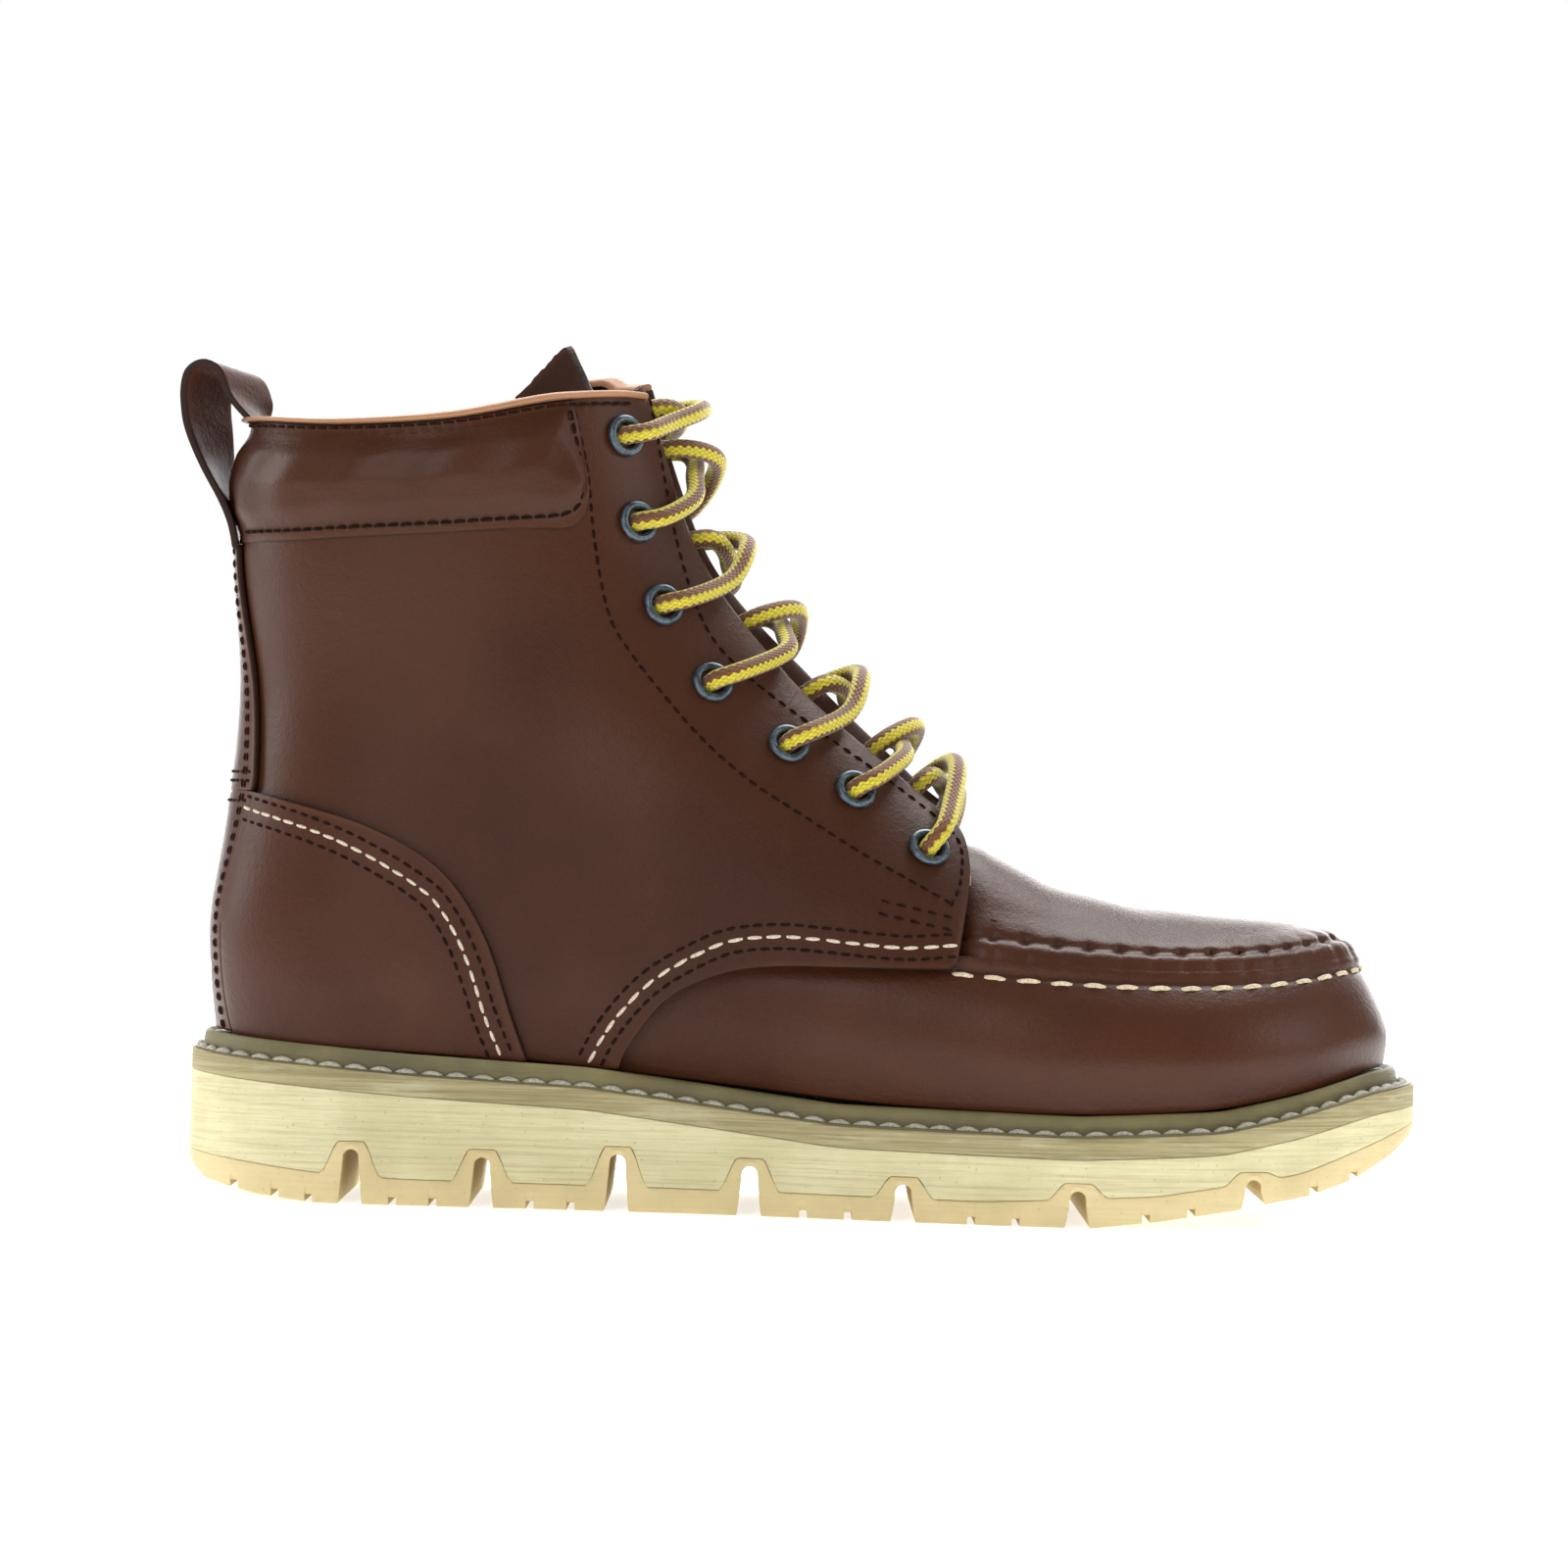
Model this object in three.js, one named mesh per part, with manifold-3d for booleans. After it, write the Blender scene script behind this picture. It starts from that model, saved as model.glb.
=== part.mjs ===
// Lace-up work boot with a steel toe cap: right foot, toe to +X, outer (lateral) side to -Y, up +Z.
// The boot is drawn on a last whose heel stands behind x = 0, and the finished group is moved so that
// its origin lies under the middle of the whole boot, on the ground. Millimetres.
import * as THREE from 'three';
import { mergeVertices } from 'three/addons/utils/BufferGeometryUtils.js';
import Module from 'manifold-3d';

// Overall sizes
const SOLE_LENGTH = 302.8;
const BALL_WIDTH = 113;
const SHAFT_HEIGHT = 153;
// Layers of the upper
const LEATHER = 2;
const COVER = 1.6;
const STIFFENER = 1.4;
const LINING = 1;
const TONGUE = 2;
const TONGUE_RIDGE = 1.6;
const TONGUE_CLEARANCE = 1.4;
const GAP = 0.3;
// Sole
const WELT = 4.6;
const SLIP_SOLE = 4.8;
const WELT_LEDGE = 6;
const GROOVE_WIDTH = 6.2;
const NOTCH = 1.9;
const INSOLE = 2.4;
const FOOTBED = 3.2;
const SHANK_ENDS = [-100, 30];
const SHANK_WIDTH = 14;
const SHANK_THICKNESS = 1.4;
// Toe cap
const STEEL = 1.6;
// Eyelets and lace
const EYELET_BORE = 3.1;
const EYELET_WALL = 0.5;
const EYELET_FLANGE = 5.2;
const LACE_DIAMETER = 4.6;
const AGLET_LENGTH = 20;
// Pull loop
const STRAP_WIDTH = 19;
const STRAP = 1.8;

const wasm = await Module();
wasm.setup();

// How much the sizes above stretch the last that is drawn below
const DRAWN = { length: 302.8, width: 113, shaft: 153, feather: 40 };
const STRETCH = SOLE_LENGTH / DRAWN.length;
const WIDEN = BALL_WIDTH / DRAWN.width;
const RAISE = SHAFT_HEIGHT / DRAWN.shaft;
const height = z => (z > DRAWN.feather ? DRAWN.feather + (z - DRAWN.feather) * RAISE : z);
const place = (x, y, z) => new THREE.Vector3(x * STRETCH, y * WIDEN, height(z));

// ---------------------------------------------------------------- solids
const boot = new THREE.Group();

const toSolid = geometry => {
  const bare = geometry.clone();
  for (const name of ['normal', 'uv']) bare.deleteAttribute(name);
  const merged = mergeVertices(bare, 1e-4);
  return new wasm.Manifold(new wasm.Mesh({
    numProp: 3,
    vertProperties: new Float32Array(merged.attributes.position.array),
    triVerts: new Uint32Array(merged.index.array),
  }));
};

const toGeometry = solid => {
  const mesh = solid.getMesh();
  const geometry = new THREE.BufferGeometry();
  geometry.setAttribute('position', new THREE.BufferAttribute(mesh.vertProperties, 3));
  geometry.setIndex(new THREE.BufferAttribute(mesh.triVerts, 1));
  return geometry;
};

const add = (name, shape, [color, roughness, metalness]) => {
  const geometry = shape.isBufferGeometry ? shape : toGeometry(shape);
  const mesh = new THREE.Mesh(geometry, new THREE.MeshStandardMaterial({ color, roughness, metalness }));
  mesh.name = name;
  boot.add(mesh);
  return mesh;
};

const FINISH = {
  leather: [0x5a3322, 0.45, 0],
  flesh: [0x6b4a38, 0.9, 0],
  binding: [0xb98a6a, 0.6, 0],
  lining: [0x8a6a50, 0.9, 0],
  foam: [0xd8d2c0, 0.95, 0],
  fibre: [0xa08a6a, 0.85, 0],
  steel: [0x8a8d90, 0.35, 1],
  enamel: [0x3c474e, 0.35, 0.6],
  lace: [0xd0bd2c, 0.75, 0],
  plastic: [0x8a6a20, 0.4, 0],
  welt: [0x6f673e, 0.6, 0],
  slip: [0xa89a72, 0.8, 0],
  midsole: [0xe0dcb8, 0.75, 0],
  outsole: [0xe2d3a3, 0.6, 0],
  cork: [0x9a7448, 0.95, 0],
  footbed: [0x4a4a48, 0.9, 0],
};

// A closed wall between two grids of points. Edges that fold onto themselves are left without a rim.
function wall(outer, inner, open = ['first', 'last', 'low', 'high']) {
  const rows = outer.length;
  const columns = outer[0].length;
  const positions = [...outer.flat(), ...inner.flat()].flatMap(p => [p.x, p.y, p.z]);
  const indices = [];
  const at = (side, i, j) => side * rows * columns + i * columns + j;
  const quad = (a, b, c, d) => indices.push(a, b, c, a, c, d);
  for (let i = 0; i < rows - 1; i++) {
    for (let j = 0; j < columns - 1; j++) {
      quad(at(0, i, j), at(0, i + 1, j), at(0, i + 1, j + 1), at(0, i, j + 1));
      quad(at(1, i, j), at(1, i, j + 1), at(1, i + 1, j + 1), at(1, i + 1, j));
    }
  }
  const rim = (i, j, k, l) => quad(at(0, i, j), at(0, k, l), at(1, k, l), at(1, i, j));
  for (let i = 0; i < rows - 1; i++) {
    if (open.includes('low')) rim(i + 1, 0, i, 0);
    if (open.includes('high')) rim(i, columns - 1, i + 1, columns - 1);
  }
  for (let j = 0; j < columns - 1; j++) {
    if (open.includes('first')) rim(0, j, 0, j + 1);
    if (open.includes('last')) rim(rows - 1, j + 1, rows - 1, j);
  }
  const geometry = new THREE.BufferGeometry();
  geometry.setAttribute('position', new THREE.Float32BufferAttribute(positions, 3));
  geometry.setIndex(indices);
  const solid = toSolid(geometry);
  if (solid.volume() > 0) return solid;
  geometry.setIndex(indices.map((v, n) => indices[n - (n % 3) + 2 - (n % 3)]));
  return toSolid(geometry);
}

const FAR = 400;
// A block whose outline is drawn from the side (x, z) and that reaches through the whole width
function sideBlock(points, low = -FAR, high = FAR) {
  const outline = new THREE.Shape(points.map(([x, z]) => new THREE.Vector2(x, z)));
  const block = new THREE.ExtrudeGeometry(outline, { depth: high - low, bevelEnabled: false });
  block.rotateX(Math.PI / 2);
  block.translate(0, high, 0);
  return toSolid(block);
}

// A block whose outline is drawn from the front (y, z)
function frontBlock(points, low = -FAR, high = FAR) {
  const outline = new THREE.Shape(points.map(([y, z]) => new THREE.Vector2(y, z)));
  const block = new THREE.ExtrudeGeometry(outline, { depth: high - low, bevelEnabled: false });
  block.rotateX(Math.PI / 2).rotateZ(Math.PI / 2);
  block.translate(low, 0, 0);
  return toSolid(block);
}

// A block whose outline is drawn from above
function planBlock(points, low = -FAR, high = FAR) {
  const outline = new THREE.Shape(points.map(p => new THREE.Vector2(p.x, p.y)));
  const block = new THREE.ExtrudeGeometry(outline, { depth: high - low, bevelEnabled: false });
  block.translate(0, 0, low);
  return toSolid(block);
}

// ---------------------------------------------------------------- curves and surfaces
function spline(a, b, c, d, t) {
  const blend = (p, q, r, s) => 0.5 * (2 * q + (r - p) * t + (2 * p - 5 * q + 4 * r - s) * t * t
    + (3 * q - p - 3 * r + s) * t * t * t);
  return new THREE.Vector3(blend(a.x, b.x, c.x, d.x), blend(a.y, b.y, c.y, d.y), blend(a.z, b.z, c.z, d.z));
}

// A point on a row of points, ring says whether the row closes on itself
function along(row, t, ring = false) {
  const last = row.length - 1;
  const at = i => {
    if (ring) return row[(i % row.length + row.length) % row.length];
    if (i < 0) return row[0].clone().multiplyScalar(2).sub(row[1]);
    return i > last ? row[last].clone().multiplyScalar(2).sub(row[last - 1]) : row[i];
  };
  const i = ring ? Math.floor(t) : Math.min(Math.max(Math.floor(t), 0), last - 1);
  return spline(at(i - 1), at(i), at(i + 1), at(i + 2), t - i);
}

const onNet = (net, a, h, ring) => along(net.map(level => along(level, a, ring)), h);

const range = (from, to, count) => Array.from({ length: count + 1 }, (_, i) => from + (to - from) * i / count);

// Height read off a line of (x, z) points
function lineAt(points, x) {
  const last = points.length - 1;
  if (x <= points[0][0]) return points[0][1];
  if (x >= points[last][0]) return points[last][1];
  const i = points.findIndex(p => p[0] > x);
  const t = (x - points[i - 1][0]) / (points[i][0] - points[i - 1][0]);
  return THREE.MathUtils.lerp(points[i - 1][1], points[i][1], t);
}

// ---------------------------------------------------------------- the last
// Levels of the leg and the quarters, from the welt up to the collar. Each level runs from the middle of
// the heel round one side to the middle of the front: x, half width, z.
const LEG = [
  [[-143.8, 0, 40.3], [-137, 20, 39.8], [-115, 32.5, 38.2], [-76, 35, 36.3], [-28, 39, 32.2],
    [22, 46.5, 27.4], [46, 49.5, 26.9], [72, 50, 26.6]],
  [[-145.4, 0, 55], [-138.4, 22, 54.5], [-116, 36, 53], [-77, 40, 52], [-28, 45.5, 50],
    [22, 51.5, 46], [45, 53, 46], [72, 53, 46]],
  [[-145.6, 0, 70], [-138.6, 22, 70], [-116, 36, 70], [-78, 40.5, 72], [-28, 46, 74],
    [20, 46.5, 72], [40.5, 30, 86], [43, 0, 92]],
  [[-142.2, 0, 94], [-135.6, 20, 94], [-116, 33.5, 95], [-80, 39, 98], [-30, 41.5, 102],
    [8, 33, 103], [24, 17.5, 106], [27, 0, 107]],
  [[-140, 0, 124], [-133.6, 18.5, 124], [-116, 32, 125], [-84, 37.5, 127], [-46, 35.5, 129],
    [-17, 25.5, 130], [-3.5, 13, 130.5], [1, 0, 131]],
  [[-142.4, 0, 158], [-136, 19.5, 158], [-117, 33.5, 159], [-88, 38, 160], [-58, 34, 160.5],
    [-38, 24, 160], [-27, 12, 159], [-23.5, 0, 158]],
  [[-140.4, 0, 190], [-134.6, 19, 189.5], [-116, 33, 188.6], [-90, 38, 190.5], [-66, 33.5, 195.5],
    [-50, 24, 197.5], [-41, 12, 197.5], [-38, 0, 197.5]],
];
const FRONT = LEG[0].length - 1;
const TOP = LEG.length - 1;
// The inner side is slimmer than the outer one, most of all at the waist of the sole
const INNER_AT_WELT = [1, 0.97, 0.95, 0.88, 0.76, 0.78, 0.86, 0.92];
const INNER_SIDE = 0.95;
const slimmer = (station, level) => THREE.MathUtils.lerp(INNER_AT_WELT[station], INNER_SIDE, Math.min(level / 3, 1));

function legRow(side, level) {
  const row = LEG[level].map(([x, w, z], i) => place(x, -side * w * (side < 0 ? slimmer(i, level) : 1), z));
  const mirror = p => new THREE.Vector3(p.x, -p.y, p.z);
  const after = row[FRONT].y === 0 ? mirror(row[FRONT - 1])
    : row[FRONT].clone().multiplyScalar(2).sub(row[FRONT - 1]);
  return [mirror(row[1]), ...row, after];
}
const legNet = { '-1': LEG.map((_, level) => legRow(-1, level)), 1: LEG.map((_, level) => legRow(1, level)) };

// A point of the leg: s runs from 0 at the heel to FRONT on the outer side, and to -FRONT on the inner side
const leg = (s, h) => {
  const rows = legNet[s < 0 ? -1 : 1];
  return along(rows.map(row => along(row, Math.abs(s) + 1)), h);
};

// A point at a distance outside a surface
function pushed(surface, s, h, distance) {
  const step = 1e-3;
  const level = surface(s + step, h).sub(surface(s - step, h));
  const up = surface(s, h + step).sub(surface(s, h - step));
  return surface(s, h).addScaledVector(level.cross(up).normalize(), distance);
}

// Levels of the vamp, from the welt up to the toe seam, from the waist round the toe tip: x, half width, z.
const VAMP = [
  [[-60, 32, 35], [-20, 36, 31.2], [20, 43, 27.6], [60, 49, 26.5], [95, 46.5, 28], [121, 35, 32.6],
    [138, 17, 37.4], [143.6, 0, 38.7]],
  [[-60, 36, 46], [-20, 41, 43], [20, 47.5, 40], [60, 52, 39], [95, 49.5, 40], [121.5, 37.5, 43],
    [138.4, 19, 46.4], [144, 0, 47.2]],
  [[-60, 37, 57], [-20, 41.5, 55], [20, 47, 53], [60, 49.5, 51], [93.5, 46, 51], [119, 35, 53],
    [134.6, 18, 56], [140.2, 0, 56.8]],
  [[-60, 37, 66], [-20, 39.5, 65.5], [20, 42, 64.5], [60, 42.5, 61.5], [91, 38, 60.5], [114.5, 29, 61.8],
    [129.8, 14.5, 64], [135.4, 0, 65]],
];
const TIP = VAMP[0].length - 1;
const SEAM = VAMP.length - 1;
const VAMP_AT_WELT = [0.85, 0.77, 0.79, 0.9, 0.95, 0.97, 1, 1];
const VAMP_AT_SEAM = [0.84, 0.84, 0.86, 0.92, 0.95, 0.97, 1, 1];
const TOE_LEAN = 3;
const leans = (x, y) => y + TOE_LEAN * THREE.MathUtils.smoothstep(x, 60, 144);

const vampNet = VAMP.map((level, h) => {
  const side = (sign, [x, w, z], i) => {
    const slim = sign > 0 ? THREE.MathUtils.lerp(VAMP_AT_WELT[i], VAMP_AT_SEAM[i], h / SEAM) : 1;
    return place(x, leans(x, sign * w * slim), z);
  };
  const outer = level.map((point, i) => side(-1, point, i));
  const inner = level.slice(0, -1).map((point, i) => side(1, point, i)).reverse();
  return [...outer, ...inner];
});
const vamp = (a, h) => along(vampNet.map(level => along(level, a)), h);

// The plug of the moc toe: each line climbs from the seam over a rolled edge to the ridge
const RIDGE = [[-60, 128], [-20, 118], [20, 106], [42, 90], [60, 81], [80, 76.2], [104, 74.3], [118, 73]];
const RIDGE_X = [-60, -20, 20, 58, 84, 101, 110, 113];
function plug(a, q, depth = 0) {
  const edge = pushed(vamp, a, SEAM, -depth);
  const station = TIP - Math.abs(a - TIP);
  const i = Math.min(Math.floor(station), TIP - 1);
  const x = THREE.MathUtils.lerp(RIDGE_X[i], RIDGE_X[i + 1], station - i);
  const top = place(x, leans(x, 0), lineAt(RIDGE, x) - depth);
  const rise = Math.pow(1 - Math.pow(1 - q, 2.4), 0.85);
  return new THREE.Vector3(
    THREE.MathUtils.lerp(edge.x, top.x, q),
    THREE.MathUtils.lerp(edge.y, top.y, q),
    THREE.MathUtils.lerp(edge.z, top.z, rise),
  );
}
// The whole toe: v runs up the vamp from 0 to 1 and over the plug from 1 to 2
const toe = (a, v, depth) => (v <= 1 ? pushed(vamp, a, v * SEAM, -depth) : plug(a, v - 1, depth));

// ---------------------------------------------------------------- the sole
const SOLE_OUTLINE = [
  [-151.4, 0], [-148, -16], [-138, -29], [-115, -39], [-85, -40.5], [-50, -41.5], [-15, -44.5], [20, -51.5],
  [55, -57], [85, -56], [112, -47.5], [133, -33], [146.5, -14], [151.4, 4], [147.5, 20], [133, 38], [112, 48.5],
  [85, 53.5], [60, 52.5], [30, 46], [0, 39.5], [-30, 36.5], [-60, 36], [-90, 37.5], [-118, 37], [-138, 28.5],
  [-148, 16],
];
const WELT_TOP = [[-151.8, 40.2], [-131.8, 38.4], [-95, 36], [-52, 34], [8, 27], [66, 25.9], [100, 27.6],
  [119, 31.6], [138.6, 37], [151.4, 38.6]];
const SPLIT = [[-151.8, 11], [-120, 7.6], [-96, 6.4], [43, 5.7], [85, 8], [120, 13.5], [151.4, 25]];
const GROUND = [[-151.8, 9.4], [-150, 7.7], [-146, 4.2], [-132, 1.4], [-118, 0], [69, 0], [85.3, 1.9],
  [104.8, 4.9], [122.6, 8.2], [133.9, 11.8], [144.5, 17.6], [149.9, 21.6], [151.4, 23.4]];
const GROOVES = [[-108.9, 13.2], [-77.2, 12.1], [-44.5, 13.7], [-12.6, 11.9], [24.3, 8.9], [65.8, 8.7], [108.2, 12]];
const NOTCHES = [-137.8, -127.4, -119, -98.6, -88.9, -65.4, -55.6, 0.5, 11.2, 40.5, 51.1, 82.2, 93.1, 123.4, 133.7];
const GROOVE_ROOF = 2;
const OUTLINE_STEPS = 48;

const outlineCurve = new THREE.CatmullRomCurve3(SOLE_OUTLINE.map(([x, y]) => place(x, y, 0)), true, 'centripetal');
function outline(inset) {
  return range(0, 1, OUTLINE_STEPS).slice(0, -1).map(t => {
    const along = outlineCurve.getTangent(t);
    return outlineCurve.getPoint(t).add(new THREE.Vector3(-along.y, along.x, 0).multiplyScalar(inset));
  });
}
const stretched = points => points.map(([x, z]) => [x * STRETCH, z]);
const lowered = (points, drop) => points.map(([x, z]) => [x, z - drop]);
const between = (top, bottom) => sideBlock([...stretched(top), ...stretched(bottom).reverse()]);

// The outsole rises over each groove, so that it stays one piece
const ROOF_CORNER = 1.6;
const ROOF_FOOT = 2.4;
const splitLine = [...SPLIT, ...GROOVES.flatMap(([x, z]) => {
  const half = GROOVE_WIDTH / 2 + GROOVE_ROOF;
  const foot = half + ROOF_FOOT;
  return [[x - foot, lineAt(SPLIT, x - foot)], [x - half, z + 1], [x - half + ROOF_CORNER, z + GROOVE_ROOF],
    [x + half - ROOF_CORNER, z + GROOVE_ROOF], [x + half, z + 1], [x + foot, lineAt(SPLIT, x + foot)]];
})].sort((a, b) => a[0] - b[0]);

const slipTop = lowered(WELT_TOP, WELT + GAP);
const midTop = lowered(slipTop, SLIP_SOLE + GAP);
// Lines of the sole go on level past its ends, so that the slabs cut from them are long enough
const SLAB_END = 156;
const beyond = points => [[-SLAB_END, points[0][1]], ...points, [SLAB_END, points[points.length - 1][1]]];
// How far the welt and the layers inside it stand back from the edge of the sole
const WELT_INSET = 0.8;
const WELT_TUCK = 5;
const FOOTBED_INSET = 1.5;

function buildSole() {
  const plan = planBlock(outline(0));
  const slab = (top, bottom) => between(beyond(top), beyond(bottom));
  let outsole = plan.intersect(slab(lowered(splitLine, GAP), GROUND));
  for (const [x, z] of GROOVES) {
    const half = GROOVE_WIDTH / 2;
    const arch = range(0, Math.PI, 4).map(t => [x * STRETCH + half * Math.cos(t), z - half + half * Math.sin(t)]);
    outsole = outsole.subtract(sideBlock([[x * STRETCH - half, -5], ...arch.reverse(), [x * STRETCH + half, -5]]));
  }
  for (const x of NOTCHES) {
    const floor = lineAt(GROUND, x);
    const [left, right] = [x * STRETCH - NOTCH / 2, x * STRETCH + NOTCH / 2];
    const top = floor + NOTCH;
    outsole = outsole.subtract(sideBlock([[left, -5], [left, top], [right, top], [right, -5]]));
  }
  add('outsole', outsole, FINISH.outsole);
  add('midsole', plan.intersect(slab(midTop, splitLine)), FINISH.midsole);
  add('slip_sole', plan.intersect(slab(slipTop, lowered(slipTop, SLIP_SOLE))), FINISH.slip);

  const inside = WELT_LEDGE + LEATHER + STIFFENER + LINING + WELT_TUCK;
  const ring = planBlock(outline(WELT_INSET)).subtract(planBlock(outline(inside)));
  add('welt', ring.intersect(slab(WELT_TOP, lowered(WELT_TOP, WELT))), FINISH.welt);

  const insoleUnder = lowered(WELT_TOP, INSOLE);
  const cavity = planBlock(outline(inside + GAP));
  add('insole_board', cavity.intersect(slab(WELT_TOP, insoleUnder)), FINISH.fibre);
  const cork = cavity.intersect(slab(lowered(insoleUnder, GAP), lowered(WELT_TOP, WELT)));
  const [back, front] = SHANK_ENDS;
  const shankPlan = grow => [[back, -SHANK_WIDTH / 2 - grow], [front, -SHANK_WIDTH / 2 - grow],
    [front, SHANK_WIDTH / 2 + grow], [back, SHANK_WIDTH / 2 + grow]]
    .map(([x, y]) => place(x + Math.sign(x) * grow, y, 0));
  add('cork_filler', cork.subtract(planBlock(shankPlan(GAP))), FINISH.cork);
  const shankSlab = slab(lowered(WELT_TOP, WELT - SHANK_THICKNESS), lowered(WELT_TOP, WELT));
  add('shank', planBlock(shankPlan(0)).intersect(shankSlab), FINISH.steel);

  const bed = planBlock(outline(inside + FOOTBED_INSET));
  const bedTop = lowered(WELT_TOP, -FOOTBED - GAP);
  add('footbed', bed.intersect(slab(bedTop, lowered(WELT_TOP, -GAP))), FINISH.footbed);
}

// ---------------------------------------------------------------- outlines on the upper, seen from the side
const TAB_EDGE = [[-45.5, 30], [-42.6, 40], [-33.7, 51.5], [-21, 57.9], [-8, 60.2], [35.7, 60.7]];
const TAB_FRONT = [[37.7, 73.4], [39.7, 86], [41, 112]];
const COUNTER_EDGE = [[-67, 30], [-71, 47], [-78, 66], [-89, 81], [-107, 91], [-128, 97], [-146, 101], [-160, 103]];
const COLLAR_SEAM = [[-160, 160], [-113, 161], [-74, 164], [-65, 167], [-60.5, 174], [-60.5, 230]];
const VAMP_UNDER_TAB = 9;
const STAY_EDGE = [[-61, 230], [-58, 175], [-50, 150], [-38, 128], [-10, 106], [16, 90], [34, 80.5], [60, 80.5],
  [60, 230]];
const HEEL_EDGE = [[-68, 41], [-74, 60], [-90, 74], [-120, 80], [-160, 82], [-160, 41]];
const up = points => points.map(([x, z]) => [x * STRETCH, height(z)]);
const behindTab = shift => TAB_EDGE.map(([x, z], i) => [x - shift, z + (i > 1 ? shift * 0.8 : 0)]);

// Half of the gap between the two facings at a height
const FACING = [[60, 30], [86, 26.5], [92, 24], [103, 20], [125, 17.5], [140, 15.5], [160, 14.5], [230, 14]];
const facingGap = frontBlock([...FACING.map(([z, half]) => [half * WIDEN, height(z)]),
  ...FACING.map(([z, half]) => [-half * WIDEN, height(z)]).reverse()], -70 * STRETCH, FAR);
// Half width of the strip up the back, and of the gap that the heel covers leave for it
const BACKSTAY = [[20, 20], [45, 17.5], [70, 17], [96, 19.5], [102, 19.5], [159.5, 8.5], [230, 8.5]];
const backStrip = grow => frontBlock([...BACKSTAY.map(([z, half]) => [(half + grow) * WIDEN, height(z)]),
  ...BACKSTAY.map(([z, half]) => [-(half + grow) * WIDEN, height(z)]).reverse()], -FAR, -100 * STRETCH);

// Depths of the layers under the outer face
const STIFF_TOP = -(LEATHER + GAP);
const STIFF_UNDER = STIFF_TOP - STIFFENER;
const LINING_TOP = STIFF_UNDER - GAP;
const LINING_UNDER = LINING_TOP - LINING;
const COVER_TOP = GAP + COVER;
const COLLAR_PUFF = 2.2;
const SIDES = [['lateral', 1], ['medial', -1]];

// A whole layer of the leg between two distances from the last. All layers share the same grid lines, so
// that they keep their distance.
const LEG_LINES = range(-FRONT + 0.5, FRONT - 0.5, 20);
const LEG_LEVELS = range(0, TOP, 9);
function layer(outer, inner, levels = LEG_LEVELS, lines = LEG_LINES) {
  const grid = distance => lines.map(s => levels.map(h => pushed(leg, s, h, distance)));
  return wall(grid(outer), grid(inner));
}

// ---------------------------------------------------------------- eyelets
const EYELETS = [[-47.9, 187.7], [-44.2, 166.7], [-37.4, 146.6], [-24.9, 128], [-6.1, 113.5], [10.4, 102.8],
  [28.5, 89.2]];
// The place on one side of the leg that a side view shows at (x, z)
function locate(side, x, z) {
  let best = [Infinity];
  let [s, h, reach] = [5, 4, 2.2];
  for (let round = 0; round < 16; round++) {
    for (const ds of [-1, -0.5, 0, 0.5, 1]) {
      for (const dh of [-1, -0.5, 0, 0.5, 1]) {
        const [ts, th] = [Math.min(s + ds * reach, FRONT), Math.min(Math.max(h + dh * reach, 0), TOP)];
        const p = leg(side * ts, th);
        const miss = Math.hypot(p.x - x * STRETCH, p.z - height(z));
        if (miss < best[0]) best = [miss, ts, th];
      }
    }
    [, s, h] = best;
    reach *= 0.62;
  }
  return [s, h];
}
const eyelets = SIDES.flatMap(([name, side]) => EYELETS.map(([x, z], i) => {
  const [s, h] = locate(side, x, z);
  const at = pushed(leg, side * s, h, 0);
  const out = pushed(leg, side * s, h, 1).sub(at);
  return { name: `eyelet_${name}_${i + 1}`, side, at, out, s, h };
}));

// How deep the lace runs behind the eyelets
const EYELET_BACK = LINING_UNDER - GAP - 0.8;
const EYELET_CURL = 0.7;
const EYELET_PROUD = 1.6;
const EYELET_SEAT = GAP + 0.4;
const LACE_LANE = EYELET_BACK - EYELET_CURL - GAP - LACE_DIAMETER / 2;

function turned(profile, { at, out }, sides = 10) {
  const lathe = new THREE.LatheGeometry(profile.map(([r, y]) => new THREE.Vector2(r, y)), sides);
  lathe.applyQuaternion(new THREE.Quaternion().setFromUnitVectors(new THREE.Vector3(0, 1, 0), out));
  lathe.translate(at.x, at.y, at.z);
  return lathe;
}
const punched = (solid, side) => eyelets.filter(e => e.side === side).reduce((rest, eyelet) => {
  const r = EYELET_BORE + EYELET_WALL + 2 * GAP;
  return rest.subtract(toSolid(turned([[0, -9], [r, -9], [r, 5], [0, 5]], eyelet, 8)));
}, solid);

function buildEyelets() {
  const outer = EYELET_BORE + EYELET_WALL;
  const [back, curl] = [EYELET_BACK, EYELET_BACK - EYELET_CURL];
  for (const eyelet of eyelets) {
    const profile = [[EYELET_BORE, curl], [EYELET_BORE, EYELET_PROUD], [EYELET_FLANGE - 0.7, EYELET_PROUD],
      [EYELET_FLANGE, EYELET_SEAT], [outer, EYELET_SEAT], [outer, back], [EYELET_FLANGE - 1, back],
      [EYELET_FLANGE - 1, curl], [EYELET_BORE, curl]].reverse();
    add(eyelet.name, turned(profile, eyelet), FINISH.enamel);
  }
}

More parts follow.
